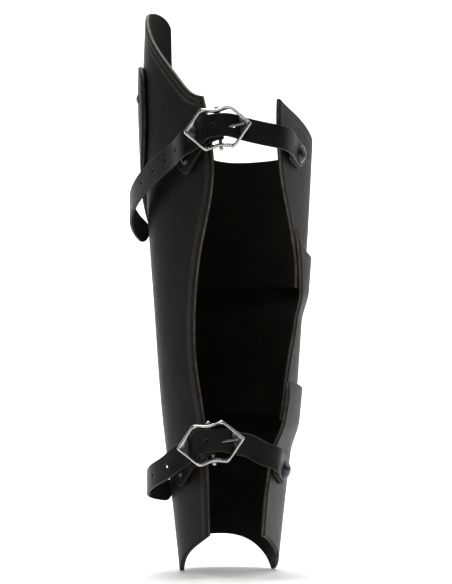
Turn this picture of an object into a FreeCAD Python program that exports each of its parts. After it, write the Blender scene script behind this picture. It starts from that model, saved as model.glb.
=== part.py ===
import FreeCAD, Part
import math
import os

# Leather greave for the lower leg: a side panel and three lapped plates, riveted down the
# front, open at the calf, closed by two buckled straps. The shell rises to a peak over the knee.
#
# Frame: +Z up the leg, the calf opening faces -Y, the three lapped plates are on the +X side.
# The origin is on the leg's axis, level with the lowest points of the hem.
# A place on the shell is (turn, height, offset). turn is 0 at the front and grows towards +X;
# up to 90 it is an angle, and past 90 it adds the depth in mm behind the widest line.
# offset is the distance outwards from the inner face of the side panel.

V = FreeCAD.Vector
doc = FreeCAD.newDocument("greave")

DRIVING = (
    # the shell
    ("leather", 4.0), ("lap_gap", 0.3), ("wall_slant", 0.64), ("wall_round", 25.0),
    # half widths and front depths, from the hem up to the peak
    ("level_ankle", 60.0), ("level_calf_low", 140.0), ("level_calf", 228.0),
    ("level_calf_top", 300.0), ("level_knee", 400.0), ("level_peak", 476.0),
    ("width_hem", 35.5), ("width_ankle", 42.0), ("width_calf_low", 51.2), ("width_calf", 57.6),
    ("width_calf_top", 62.6), ("width_knee", 66.8), ("width_peak", 64.5),
    ("depth_hem", 31.0), ("depth_ankle", 36.0), ("depth_calf_low", 45.0), ("depth_calf", 52.0),
    ("depth_calf_top", 57.0), ("depth_knee", 62.0), ("depth_peak", 61.0),
    # where each lapped plate ends under the next one, and the drop back to the shell
    ("upper_end", 240.0), ("middle_end", 130.0), ("settle", 30.0),
    # straps
    ("strap_width", 19.0), ("strap_thick", 3.0), ("hole_radius", 1.5),
    ("spacer_long", 23.0), ("spacer_thick", 2.6),
    # buckles
    ("frame_long", 58.5), ("frame_high", 36.5), ("frame_thick", 3.2), ("window_long", 37.0),
    ("window_high", 29.0), ("corner_long", 24.0), ("waist_dip", 3.0), ("bar_radius", 1.5),
    ("bar_drop", 3.0), ("knob_radius", 1.9), ("bar_play", 0.06), ("lug_wall", 1.1),
    ("prong_radius", 1.3), ("prong_long", 25.5), ("prong_lift", 22.6), ("prong_turn", 4.0),
    ("frame_rock", 1.2), ("chape_thick", 1.7), ("chape_width", 19.0), ("chape_slot", 4.2),
    # rivets
    ("dome_radius", 7.6), ("dome_high", 4.2), ("post_radius", 1.9), ("burr_radius", 5.0),
    ("burr_thick", 1.2), ("small_head", 4.2), ("small_high", 1.5), ("small_post", 1.4),
    ("fit_gap", 0.1),
)

sheet = doc.addObject("Spreadsheet::Sheet", "sizes")
for row, (alias, value) in enumerate(DRIVING, start=1):
    sheet.set("A%d" % row, alias)
    sheet.set("B%d" % row, str(value))
    sheet.setAlias("B%d" % row, alias)
doc.recompute()


def size(alias):
    """A driving dimension, read back from the sheet."""
    return float(sheet.get(alias))


LEATHER = size("leather")
GAP = size("lap_gap")
STRAP = size("strap_thick")
SHEET_NAME = "sizes"
UPRIGHT = V(0, 0, 1)


# ---------------------------------------------------------------- the leg's surface

LEVELS = [0.0] + [size("level_" + n) for n in
                  ("ankle", "calf_low", "calf", "calf_top", "knee", "peak")]
ZONES = ("hem", "ankle", "calf_low", "calf", "calf_top", "knee", "peak")
WIDTHS = [size("width_" + n) for n in ZONES]
DEPTHS = [size("depth_" + n) for n in ZONES]


def smooth_through(xs, ys, x):
    """Cubic Hermite curve through the points (xs, ys), evaluated at x."""
    x = min(max(x, xs[0]), xs[-1])
    i = max(k for k in range(len(xs) - 1) if xs[k] <= x)
    slopes = []
    for k in (i, i + 1):
        lo = max(k - 1, 0)
        hi = min(k + 1, len(xs) - 1)
        slopes.append((ys[hi] - ys[lo]) / (xs[hi] - xs[lo]))
    step = xs[i + 1] - xs[i]
    u = (x - xs[i]) / step
    return (ys[i] * (1 - 3 * u ** 2 + 2 * u ** 3) + ys[i + 1] * (3 * u ** 2 - 2 * u ** 3)
            + slopes[0] * step * (u - 2 * u ** 2 + u ** 3)
            + slopes[1] * step * (u ** 3 - u ** 2))


def section_point(turn, height):
    """Point of the inner face in the horizontal section: an oval front, nearly flat back walls."""
    width = smooth_through(LEVELS, WIDTHS, height)
    depth = smooth_through(LEVELS, DEPTHS, height)
    if abs(turn) <= 90.0:
        angle = math.radians(turn)
        return V(width * math.sin(angle), depth * math.cos(angle), height)
    behind = abs(turn) - 90.0
    bend = size("wall_round")
    inwards = size("wall_slant") * (math.hypot(behind, bend) - bend)
    return V(math.copysign(width - inwards, turn), -behind, height)


def wall_normal(turn, height):
    """Horizontal outward normal of the shell."""
    along = section_point(turn + 0.5, height) - section_point(turn - 0.5, height)
    return V(-along.y, along.x, 0.0).normalize()


def ruling(turn, height):
    """Direction up the shell at one turn: the way its taper leans."""
    return (section_point(turn, height + 1.0) - section_point(turn, height - 1.0)).normalize()


def wall_out(turn, height):
    """Outward normal of the tapered shell, for what is riveted square to it."""
    along = section_point(turn + 0.5, height) - section_point(turn - 0.5, height)
    return ruling(turn, height).cross(along).normalize()


def wall(turn, height, offset):
    """Point of the shell at an offset from the inner face."""
    return section_point(turn, height) + wall_normal(turn, height) * offset


def outline(points):
    """Smooth curve in (turn, height) through a few points, as a function of 0..1."""
    curve = Part.BSplineCurve()
    curve.interpolate(Points=[V(p[0], p[1], 0) for p in points])
    first, last = curve.FirstParameter, curve.LastParameter
    return lambda u: curve.value(first + (last - first) * u)


def coons(bottom, top, start, end):
    """(turn, height) inside four outlines: a point for p along and q up the panel."""
    def at(p, q):
        sides = start(q) * (1 - p) + end(q) * p
        ends = bottom(p) * (1 - q) + top(p) * q
        corners = ((bottom(0) * (1 - p) + bottom(1) * p) * (1 - q)
                   + (top(0) * (1 - p) + top(1) * p) * q)
        return sides + ends - corners
    return at


# ---------------------------------------------------------------- solids from point grids

def skins(inner, outer, start_cap, end_cap):
    """Faces through two grids of points, and the ruled faces that join them round the sides."""
    surfaces = []
    for grid in (inner, outer):
        surface = Part.BSplineSurface()
        surface.interpolate(grid)
        surfaces.append(surface)
    faces = [surface.toShape() for surface in surfaces]
    u0, u1, v0, v1 = surfaces[0].bounds()
    w0, w1, x0, x1 = surfaces[1].bounds()
    same_way = 1
    for a, b, wanted in ((u0, w0, start_cap), (u1, w1, end_cap)):
        if wanted:
            sides = (surfaces[0].uIso(a).toShape(), surfaces[1].uIso(b).toShape())
            faces.append(Part.makeRuledSurface(*sides, orientation=same_way))
    for a, b in ((v0, x0), (v1, x1)):
        sides = (surfaces[0].vIso(a).toShape(), surfaces[1].vIso(b).toShape())
        faces.append(Part.makeRuledSurface(*sides, orientation=same_way))
    return faces


def sewn(faces):
    """Closed solid of faces that meet at their edges."""
    shell = Part.makeShell(faces)
    shell.sewShape()
    solid = Part.makeSolid(Part.Shell(shell.Faces))
    if solid.Volume < 0:
        solid.reverse()
    return solid


def panel_solid(place, lift, columns, rows):
    """Leather panel over the leg's surface; lift(height) is its inner face's offset."""
    grids = []
    for depth in (0.0, LEATHER):
        grid = []
        for i in range(columns + 1):
            line = []
            for j in range(rows + 1):
                spot = place(i / columns, j / rows)
                line.append(wall(spot.x, spot.y, lift(spot.y) + depth))
            grid.append(line)
        grids.append(grid)
    return sewn(skins(*grids, True, True))


def ribbon_solid(spans, width, thick):
    """Flat strap through (middle, across, normal) stations, in spans that share their ends."""
    faces = []
    for number, stations in enumerate(spans):
        rails = []
        for offset in (-thick / 2, thick / 2):
            grid = []
            for middle, across, normal in stations:
                edge = across * (width / 2)
                centre = middle + normal * offset
                grid.append([centre - edge, centre, centre + edge])
            rails.append(grid)
        faces += skins(*rails, number == 0, number == len(spans) - 1)
    return sewn(faces)


def strip_solid(path, width, thick, hints=None):
    """Flat strap along a path of points, with its width along the hints, or upright."""
    stations = []
    for k, point in enumerate(path):
        _, across, normal = strip_frame(path, k, hints[k] if hints else UPRIGHT)
        stations.append((point, across, normal))
    return ribbon_solid([stations], width, thick)


def strip_frame(path, k, hint=UPRIGHT):
    """Tangent, across direction and outward normal of a strap at point k."""
    tangent = (path[min(k + 1, len(path) - 1)] - path[max(k - 1, 0)]).normalize()
    normal = hint.cross(tangent).normalize() * path_side(path)
    across = tangent.cross(normal).normalize()
    if across.z < 0:
        across = across * -1
    return tangent, across, normal


def path_side(path):
    """+1 or -1, so that a strap's normal points away from the leg's axis."""
    k = len(path) // 2
    tangent = path[k + 1] - path[k - 1]
    left = V(-tangent.y, tangent.x, 0.0)
    return 1.0 if left.dot(V(path[k].x, path[k].y, 0)) > 0 else -1.0


def spaced(points, count):
    """count + 1 evenly spaced points on the smooth curve through the given points."""
    curve = Part.BSplineCurve()
    curve.interpolate(Points=points)
    return curve.toShape().discretize(Number=count + 1)


def make_feature(name, shape):
    """Put a shape that Part's own functions made into the document."""
    feature = doc.addObject("Part::Feature", name)
    feature.Label = name
    feature.Shape = shape
    feature.Placement = FreeCAD.Placement()
    return feature


# ---------------------------------------------------------------- the shell

UPPER_LIFT = LEATHER + GAP
OVER_LIFT = UPPER_LIFT + LEATHER + 0.5


def lapped_lift(end_below):
    """Offset of a plate that laps over another plate's end and settles on the shell below it."""
    def lift(height):
        u = (height - (end_below - size("settle"))) / (size("settle") - 2.0)
        u = min(max(u, 0.0), 1.0)
        return UPPER_LIFT + (OVER_LIFT - UPPER_LIFT) * (3 * u ** 2 - 2 * u ** 3)
    return lift


def side_panel():
    """Inner side of the leg, with the knee peak. The calf edge is at turns below -135."""
    calf_edge = outline([(-136, 34), (-141, 75), (-145, 130), (-141, 180), (-145, 230), (-155, 272),
                         (-167, 308), (-172.5, 335), (-172, 360), (-164.5, 397.5)])
    front_edge = outline([(-22, 26.5), (-22, 150), (-24, 280), (-32, 400), (-36, 464)])
    hem = outline([(-136, 34), (-124, 27), (-112, 20), (-101, 12), (-93, 4.5), (-87, 0.4), (-80, 2.5),
                   (-68, 9), (-45, 19.5), (-22, 26.5)])
    rim = outline([(-164.5, 397.5), (-154, 400.5), (-140, 412.5), (-122, 430.5), (-106, 446),
                   (-92, 460), (-78, 470.5), (-58, 475.5), (-44, 473), (-36, 464)])
    return panel_solid(coons(hem, rim, calf_edge, front_edge), lambda height: 0.0, 26, 24)


def upper_plate():
    """Shin and outer side below the knee; it laps over the side panel's front."""
    front_edge = outline([(-48, 240), (-56, 282), (-80, 324), (-96, 362), (-98.5, 400), (-96, 417)])
    calf_edge = outline([(127, 240), (132, 263), (141, 278), (156, 301), (170, 322), (181, 347),
                         (187, 394)])
    end = outline([(-48, 240), (10, 240), (68, 240), (127, 240)])
    rim = outline([(-96, 417), (-88, 426), (-72, 427), (-50, 412), (-25, 376), (0, 353), (30, 350),
                   (60, 353.5), (90, 362), (112, 370), (130, 376.5), (150, 383), (170, 388.5), (187, 394)])
    return panel_solid(coons(end, rim, front_edge, calf_edge), lambda height: UPPER_LIFT, 30, 16)


def middle_plate():
    """Calf plate; its top laps over the upper plate and has a small tab at the calf edge."""
    front_edge = outline([(-47, 130), (-47, 196), (-47, 262)])
    calf_edge = outline([(140, 130), (136.5, 158), (131, 184), (122.5, 208), (122.5, 222), (128, 243),
                         (135, 263), (148.5, 289)])
    end = outline([(-47, 130), (15, 130), (78, 130), (140, 130)])
    rim = outline([(-47, 262), (0, 262), (60, 263), (90, 265), (108, 267.5), (128, 273), (142, 280),
                   (148.5, 289)])
    return panel_solid(coons(end, rim, front_edge, calf_edge), lapped_lift(size("upper_end")), 26, 20)


def lower_plate():
    """Ankle plate; it laps over the middle plate and is cut away over the instep."""
    front_edge = outline([(-47, 18.5), (-47, 84), (-47, 152)])
    calf_edge = outline([(152, 35), (154.5, 65), (154, 88), (150.5, 113), (143, 140), (142, 150),
                         (144, 162)])
    hem = outline([(-47, 18.5), (-28, 25), (0, 28), (30, 25), (60, 13), (78, 3.2), (86, 0.4),
                   (93, 3.5), (102, 10.5), (116, 20), (128, 26), (142, 32), (152, 35)])
    rim = outline([(-47, 152), (0, 151), (60, 152), (95, 155), (115, 158.5), (130, 161), (144, 162)])
    return panel_solid(coons(hem, rim, front_edge, calf_edge), lapped_lift(size("middle_end")), 26, 20)


# ---------------------------------------------------------------- the two closures

# Each closure: the bar's centre, the frame's yaw from the X axis and its tilt in its own plane,
# the dome rivet's turn and height, the turn of the calf edges that the strap and the chape cross,
# the chape's far end, and the route of the free tail by hand.
CLOSURES = {
    "upper": {
        "bar": V(-23.4, -90.0, 370.0), "yaw": 24.0, "tilt": 7.0,
        "rivet": (155.0, 351.0), "edge": (183.0, 361.5), "slope": 0.36,
        "chape_edge": (-170.0, 366.0), "chape_end": (-143.0, 337.0),
        "tail": (V(-55.5, -61.0, 350.5), V(-63.5, -47.0, 342.5), V(-71.0, -34.0, 334.0),
                 V(-76.8, -20.0, 325.0), V(-80.0, -6.0, 316.5), V(-80.0, 8.0, 308.0),
                 V(-76.5, 21.0, 300.0), V(-69.5, 33.0, 292.0), V(-60.0, 43.0, 285.0)),
    },
    "lower": {
        "bar": V(-24.6, -63.2, 112.0), "yaw": 16.0, "tilt": 9.3,
        "rivet": (137.0, 89.0), "edge": (153.0, 99.0), "slope": 0.5,
        "chape_edge": (-142.0, 108.0), "chape_end": (-109.0, 78.0),
        "tail": (V(-59.0, -47.5, 92.0), V(-66.0, -37.0, 86.0), V(-69.5, -24.0, 80.5),
                 V(-68.5, -10.5, 76.0), V(-64.5, 2.5, 72.5), V(-58.0, 13.5, 70.0), V(-50.0, 23.5, 68.0),
                 V(-41.0, 32.0, 66.5)),
    },
}

CHAPE_FOLD_GAP = 0.3

# Lengths along the strap from the bar to its adjusting holes, towards the tip.
HOLES_FROM_BAR = (3.0, 28.0, 46.0, 64.0, 82.0, 100.0)

# The strap's route through a buckle, in the frame's own axes: along, up and out from the bar.
THROUGH_BUCKLE = ((30.0, -7.0, -1.5), (19.0, -2.6, -0.1), (8.0, 1.6, 4.1), (0.0, 2.3, 5.45),
                  (-9.0, 2.0, 4.15), (-19.0, -2.8, -0.6), (-30.0, -8.0, -1.4))


def buckle_axes(closure):
    """Along, up and out directions of a buckle frame."""
    yaw = math.radians(closure["yaw"])
    tilt = math.radians(closure["tilt"])
    level = V(math.cos(yaw), -math.sin(yaw), 0.0)
    out = V(-math.sin(yaw), -math.cos(yaw), 0.0)
    along = level * math.cos(tilt) + V(0, 0, 1) * math.sin(tilt)
    up = along.cross(out) * -1
    if up.z < 0:
        up = up * -1
    return along, up, out


def buckle_point(closure, along, up, out):
    """Point in a buckle's own axes, measured from the middle of its bar."""
    a, u, o = buckle_axes(closure)
    return closure["bar"] + a * along + u * up + o * out


def buckle_placement(closure, out_shift=0.0):
    """Placement that lays a piece drawn in XY onto the buckle's plane."""
    a, u, o = buckle_axes(closure)
    turn = FreeCAD.Rotation(a, u, o, "XYZ")
    return FreeCAD.Placement(closure["bar"] + o * out_shift, turn)


def strap_seat():
    """Offset of the strap's middle from the shell's surface, where it lies over the spacer."""
    return UPPER_LIFT + LEATHER + size("spacer_thick") + 2 * GAP + STRAP / 2


def strap_route(closure):
    """The whole strap from its riveted end, round the calf edge, through the buckle to its tip."""
    on_spacer = strap_seat()
    turn, height = closure["rivet"]
    edge_turn, edge_height = closure["edge"]
    slope = closure["slope"]
    points = [wall(turn - 11.0, height - 11.0 * slope, on_spacer),
              wall(turn, height, on_spacer),
              wall(turn + 10.0, height + 10.0 * slope, on_spacer + 0.3)]
    corner = wall(edge_turn, edge_height, UPPER_LIFT + LEATHER)
    exit_point = buckle_point(closure, *THROUGH_BUCKLE[0])
    leaving = (exit_point - corner)
    leaving.z = 0.0
    leaving.normalize()
    chord_out = V(leaving.y, -leaving.x, 0.0)
    if chord_out.y > 0:
        chord_out = chord_out * -1
    edge_out = wall_normal(edge_turn, edge_height)
    middle = (chord_out + edge_out).normalize()
    bend = STRAP / 2 + 3.4
    lead = 10.0
    rise = (exit_point.z - corner.z) * lead / (exit_point - corner).Length
    points.append(corner + middle * bend)
    points.append(corner + chord_out * (bend + 1.3) + leaving * lead + V(0, 0, rise))
    for spot in THROUGH_BUCKLE:
        points.append(buckle_point(closure, *spot))
    points.extend(closure["tail"])
    return spaced(points, 120)


def split_strap(closure):
    """The route as a fixed part and a free tail, which parts where it leaves the buckle."""
    route = strap_route(closure)
    parting = buckle_point(closure, -31.0, -8.6, -2.6)
    k = min(range(len(route)), key=lambda i: (route[i] - parting).Length)
    toward_tip = (route[k + 1] - route[k]).normalize()
    fixed = route[:k + 1]
    tail = [route[k] + toward_tip * 0.6] + route[k + 1:]
    return fixed, tail


def tail_hinge(closure):
    """Point and axis about which the free tail bends: the strap's outer face where it parts."""
    fixed, _ = split_strap(closure)
    k = len(fixed) - 1
    _, across, normal = strip_frame(strap_route(closure), k)
    return fixed[-1] + normal * (STRAP / 2), across


def drill(radius, start, direction, length):
    """Cylinder to cut a hole with, centred on start."""
    return Part.makeCylinder(radius, length, start - direction * (length / 2), direction)


def adjusting_holes(closure):
    """Drills for the row of adjusting holes, at their distances from the bar."""
    route = strap_route(closure)
    middle = min(range(len(route)), key=lambda i: (route[i] - buckle_point(closure, 0, 2.3, 5.2)).Length)
    step = (route[1] - route[0]).Length
    drills = []
    for away in HOLES_FROM_BAR:
        k = middle + round(away / step)
        if k > len(route) - 6:
            break
        _, _, normal = strip_frame(route, k)
        drills.append(drill(size("hole_radius"), route[k], normal, STRAP + 2.0))
    return drills


def prong_drills(closure):
    """Drills along the prong, at each end of its play, that let it through the strap."""
    drills = []
    along, _, out = buckle_axes(closure)
    for turn in (-size("frame_rock"), size("prong_turn") / 2, size("prong_turn") + size("frame_rock")):
        lift = math.radians(size("prong_lift") + turn)
        reach = along * math.cos(lift) + out * math.sin(lift)
        start = closure["bar"] + reach * 3.5
        drills.append(Part.makeCylinder(size("prong_radius") + 0.5, size("prong_long"), start, reach))
    return drills


def rounded_tip(route, width):
    """Trim that rounds a strap's far end: everything past a half disc."""
    tangent, across, normal = strip_frame(route, len(route) - 1)
    radius = width / 2
    centre = route[-1] - tangent * radius
    block = Part.makeBox(radius + 2, 2 * radius + 4, 24)
    block.Placement = FreeCAD.Placement(centre - across * (radius + 2) - normal * 12,
                                        FreeCAD.Rotation(tangent, across, normal, "XYZ"))
    disc = Part.makeCylinder(radius, 30, centre - normal * 15, normal)
    return block.cut(disc)


def riveted_stack(closure):
    """Dome rivet's place: its foot on the strap's outer face, and the outward normal there."""
    on_spacer = strap_seat()
    turn, height = closure["rivet"]
    out = wall_out(turn, height)
    skin = wall(turn, height, UPPER_LIFT + LEATHER)
    return skin + out * (on_spacer + STRAP / 2 + 0.15 - UPPER_LIFT - LEATHER), out


def strap_and_tail(closure):
    """The strap's fixed part and its free tail, with their holes."""
    fixed_route, tail_route = split_strap(closure)
    holes = adjusting_holes(closure)
    foot, out = riveted_stack(closure)
    rivet_hole = drill(size("post_radius") + size("fit_gap"), foot, out, 60.0)
    lean = ruling(*closure["rivet"])
    hints = []
    for point in fixed_route:
        past_edge = max(0.0, (wall(*closure["edge"], UPPER_LIFT).x - 6.0 - point.x) / 12.0)
        free = min(1.0, past_edge)
        hints.append((lean * (1 - free) + UPRIGHT * free).normalize())
    fixed = strip_solid(fixed_route, size("strap_width"), STRAP, hints)
    fixed = fixed.cut(holes + prong_drills(closure) + [rivet_hole, rounded_tip(fixed_route[::-1],
                                                                              size("strap_width"))])
    tail = strip_solid(tail_route, size("strap_width"), STRAP)
    tail = tail.cut(holes + [rounded_tip(tail_route, size("strap_width"))])
    return largest(fixed), largest(tail)


def largest(shape):
    """The biggest solid of a shape."""
    return max(shape.Solids, key=lambda s: s.Volume)


def strap_spacer(closure):
    """Leather pad between the plate and the strap's riveted end."""
    turn, height = closure["rivet"]
    slope = closure["slope"]
    offset = UPPER_LIFT + LEATHER + GAP / 2 + size("spacer_thick") / 2
    reach = size("spacer_long") / 2
    path = []
    for k in range(9):
        along = -reach + 2 * reach * k / 8
        path.append(wall(turn + along, height + along * slope, offset))
    foot, out = riveted_stack(closure)
    hints = [ruling(turn, height)] * len(path)
    pad = strip_solid(path, size("strap_width") - 1.0, size("spacer_thick"), hints)
    return pad.cut(drill(size("post_radius") + size("fit_gap"), foot, out, 60.0))


def chape_spans(closure):
    """The chape's stations in three spans: up the wall, round the bar, and back down over itself."""
    thick = size("chape_thick")
    folded = thick + CHAPE_FOLD_GAP
    loop = size("bar_radius") + size("bar_play") + thick / 2 + 0.1
    points = [wall(*chape_spot(closure, k / 4), LEATHER + GAP + thick + CHAPE_FOLD_GAP / 2)
              for k in range(5)]
    points += [buckle_point(closure, -4.0, 0.0, 0.0), closure["bar"]]
    middle_line = spaced(points, 36)
    along, up, out = buckle_axes(closure)
    lean = ruling(*closure["chape_edge"])
    under, over = [], []
    for k, point in enumerate(middle_line):
        away = (point - closure["bar"]).Length
        near = min(1.0, max(0.0, (16.0 - away) / 14.0))
        _, across, normal = strip_frame(middle_line, k, lean * (1 - near) + up * near)
        if k == len(middle_line) - 1:
            across, normal = up, out
        parting = min(1.0, max(0.0, (14.0 - away) / 13.0))
        apart = folded + (2 * loop - folded) * (3 * parting ** 2 - 2 * parting ** 3)
        under.append((point - normal * (apart / 2), across, normal * -1))
        over.append((point + normal * (apart / 2), across, normal))
    turn = []
    for degrees in range(-90, 91, 15):
        angle = math.radians(degrees)
        radial = along * math.cos(angle) + out * math.sin(angle)
        turn.append((closure["bar"] + radial * loop, up, radial))
    return [under, turn, over[::-1]]


def chape_spot(closure, u):
    """(turn, height) along the chape on the wall, 0 at its far end and 1 at the calf edge."""
    edge_turn, edge_height = closure["chape_edge"]
    end_turn, end_height = closure["chape_end"]
    fall = 1.0 - u
    height = edge_height + (end_height - edge_height) * (0.6 * fall + 0.4 * fall ** 2)
    return edge_turn + (end_turn - edge_turn) * fall, height


def chape_rivet_spots(closure):
    """(turn, height) of the chape's two rivets."""
    return [chape_spot(closure, u) for u in (0.22, 0.58)]


def chape(closure):
    """Leather loop that holds the buckle's bar, slotted for the prong."""
    body = ribbon_solid(chape_spans(closure), size("chape_width"), size("chape_thick"))
    slot = Part.makeBox(14.0, size("chape_slot"), 12.0)
    corner = buckle_point(closure, -5.0, -size("chape_slot") / 2, -6.0)
    slot.Placement = FreeCAD.Placement(corner, FreeCAD.Rotation(*buckle_axes(closure), "XYZ"))
    cuts = [slot]
    for turn, height in chape_rivet_spots(closure):
        radius = size("small_post") + size("fit_gap")
        cuts.append(drill(radius, wall(turn, height, LEATHER), wall_out(turn, height), 30.0))
    return largest(body.cut(cuts))


# ---------------------------------------------------------------- buckle metal

def origin_plane(body, role):
    """One of a body's own origin planes."""
    return next(f for f in body.Origin.OriginFeatures if f.Role == role)


def closed_lines(sketch, points):
    """Closed polygon of lines in a sketch."""
    for k, point in enumerate(points):
        following = points[(k + 1) % len(points)]
        sketch.addGeometry(Part.LineSegment(V(*point, 0), V(*following, 0)), False)


def pad_sketch(body, name, outlines, length_alias, reversed_side=False):
    """Sketch of one or more closed outlines on XY, padded by a length from the sheet."""
    sketch = body.newObject("Sketcher::SketchObject", name + "_sketch")
    sketch.AttachmentSupport = [(origin_plane(body, "XY_Plane"), "")]
    sketch.MapMode = "FlatFace"
    for points in outlines:
        closed_lines(sketch, points)
    doc.recompute()
    pad = body.newObject("PartDesign::Pad", name + "_pad")
    pad.Profile = sketch
    pad.setExpression("Length", "%s.%s" % (SHEET_NAME, length_alias))
    pad.Reversed = reversed_side
    doc.recompute()
    return pad


def mirrored(quarter):
    """Closed outline from its upper half, mirrored below the long axis."""
    return quarter + [(x, -y) for x, y in reversed(quarter) if abs(y) > 1e-6]


def buckle_frame(name, closure):
    """Pointed two-loop frame with a waist, and a lug below each waist that takes the bar."""
    half_long = size("frame_long") / 2
    half_high = size("frame_high") / 2
    corner = size("corner_long") / 2
    waist = half_high - size("waist_dip")
    window = size("window_long") / 2
    window_top = size("window_high") / 2
    outer = mirrored([(half_long, 0.0), (corner, half_high), (0.0, waist), (-corner, half_high),
                      (-half_long, 0.0)])
    inner = mirrored([(window, window_top * 0.5), (corner, window_top), (0.0, window_top - 2.2),
                      (-corner, window_top), (-window, window_top * 0.5)])
    body = doc.addObject("PartDesign::Body", name)
    body.Label = name
    pad_sketch(body, name + "_ring", [outer, inner], "frame_thick")
    lugs = []
    for side in (1, -1):
        low = side * (window_top - 2.1)
        high = side * (waist - 0.1)
        lugs.append([(-2.8, low), (2.8, low), (2.8, high), (-2.8, high)])
    lug_pad = pad_sketch(body, name + "_lugs", lugs, "bar_drop", True)
    lug_pad.setExpression("Length", "{0}.bar_drop + {0}.bar_radius + {0}.lug_wall".format(SHEET_NAME))
    doc.recompute()
    drilled = pocket_for_bar(body, name, waist)
    body.Tip = drilled
    body.Placement = buckle_placement(closure, size("bar_drop"))
    return body


def pocket_for_bar(body, name, waist):
    """Bore through both lugs, along the frame's up axis, for the bar."""
    sketch = body.newObject("Sketcher::SketchObject", name + "_bore_sketch")
    sketch.AttachmentSupport = [(origin_plane(body, "XZ_Plane"), "")]
    sketch.MapMode = "FlatFace"
    circle = Part.Circle(V(0, -size("bar_drop"), 0), V(0, 0, 1), size("bar_radius") + size("bar_play"))
    sketch.addGeometry(circle, False)
    doc.recompute()
    before = body.Shape.Volume
    bore = body.newObject("PartDesign::Pocket", name + "_bore")
    bore.Profile = sketch
    bore.Type = "Length"
    bore.Midplane = True
    bore.Length = 4 * waist
    doc.recompute()
    if body.Shape.Volume >= before:
        raise RuntimeError(name + ": the bore for the bar cuts nothing")
    return bore


def bar(name, closure):
    """Round centre bar with a ball at each end."""
    reach = size("frame_high") / 2 - size("waist_dip")
    placement = buckle_placement(closure)
    parts = []
    rod = doc.addObject("Part::Cylinder", name + "_rod")
    rod.setExpression("Radius", SHEET_NAME + ".bar_radius")
    rod.Height = 2 * reach
    rod.Placement = placement.multiply(
        FreeCAD.Placement(V(0, reach, 0), FreeCAD.Rotation(V(1, 0, 0), 90)))
    parts.append(rod)
    for side in (1, -1):
        knob = doc.addObject("Part::Sphere", "%s_knob_%s" % (name, "top" if side > 0 else "foot"))
        knob.setExpression("Radius", SHEET_NAME + ".knob_radius")
        away = reach + 0.25 + math.sqrt(size("knob_radius") ** 2 - size("bar_radius") ** 2)
        knob.Placement = placement.multiply(FreeCAD.Placement(V(0, side * away, 0), FreeCAD.Rotation()))
        parts.append(knob)
        neck = doc.addObject("Part::Cylinder", "%s_neck_%s" % (name, "top" if side > 0 else "foot"))
        neck.setExpression("Radius", SHEET_NAME + ".bar_radius")
        neck.Height = away - reach + 0.1
        start = V(0, side * (reach - 0.1), 0)
        neck.Placement = placement.multiply(
            FreeCAD.Placement(start, FreeCAD.Rotation(V(0, 0, 1), V(0, side, 0))))
        parts.append(neck)
    return fused(name, parts)


def prong(name, closure):
    """Straight prong with an eye round the bar; its tip lies on the frame's outer end."""
    placement = buckle_placement(closure)
    lift = size("prong_lift")
    inner = size("bar_radius") + size("bar_play")
    width = size("chape_slot") - 1.4
    upright = FreeCAD.Rotation(V(1, 0, 0), 90)
    eye = doc.addObject("Part::Cylinder", name + "_eye")
    eye.Radius = inner + 1.3
    eye.Height = width
    eye.Placement = placement.multiply(FreeCAD.Placement(V(0, width / 2, 0), upright))
    bore = doc.addObject("Part::Cylinder", name + "_bore")
    bore.Radius = inner
    bore.Height = width + 2
    bore.Placement = placement.multiply(FreeCAD.Placement(V(0, width / 2 + 1, 0), upright))
    point = FreeCAD.Rotation(V(0, 1, 0), 90 - lift)
    start = point.multVec(V(0, 0, inner + 0.4))
    shank = doc.addObject("Part::Cone", name + "_shank")
    shank.setExpression("Radius1", SHEET_NAME + ".prong_radius")
    shank.setExpression("Radius2", SHEET_NAME + ".prong_radius * 0.7")
    shank.setExpression("Height", SHEET_NAME + ".prong_long - 2")
    shank.Placement = placement.multiply(FreeCAD.Placement(start, point))
    whole = fused(name + "_solid", [eye, shank])
    cut = doc.addObject("Part::Cut", name)
    cut.Label = name
    cut.Base = whole
    cut.Tool = bore
    return cut


# ---------------------------------------------------------------- rivets and washers

def fused(name, parts):
    """Union of document objects."""
    fuse = doc.addObject("Part::MultiFuse", name)
    fuse.Label = name
    fuse.Shapes = parts
    return fuse


def facing(point, direction):
    """Placement at a point with Z along a direction."""
    return FreeCAD.Placement(point, FreeCAD.Rotation(V(0, 0, 1), direction))


def cap_sphere_radius(radius, height):
    """Radius of the sphere whose cap has this radius and height."""
    return (radius ** 2 + height ** 2) / (2 * height)


def rivet(name, foot, out, grip, head, high, post):
    """Domed rivet: a cap on the outer face and a post that reaches through the grip."""
    sphere_radius = cap_sphere_radius(size(head), size(high))
    cap = doc.addObject("Part::Sphere", name + "_cap")
    cap.setExpression("Radius", "({0}.{1}^2 + {0}.{2}^2) / (2 * {0}.{2})".format(SHEET_NAME, head, high))
    cap.Angle1 = math.degrees(math.asin((sphere_radius - size(high)) / sphere_radius))
    cap.Placement = facing(foot - out * (sphere_radius - size(high)), out)
    shank = doc.addObject("Part::Cylinder", name + "_post")
    shank.setExpression("Radius", "%s.%s" % (SHEET_NAME, post))
    shank.Height = grip + 0.2
    shank.Placement = facing(foot - out * grip, out)
    return fused(name, [cap, shank])


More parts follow.
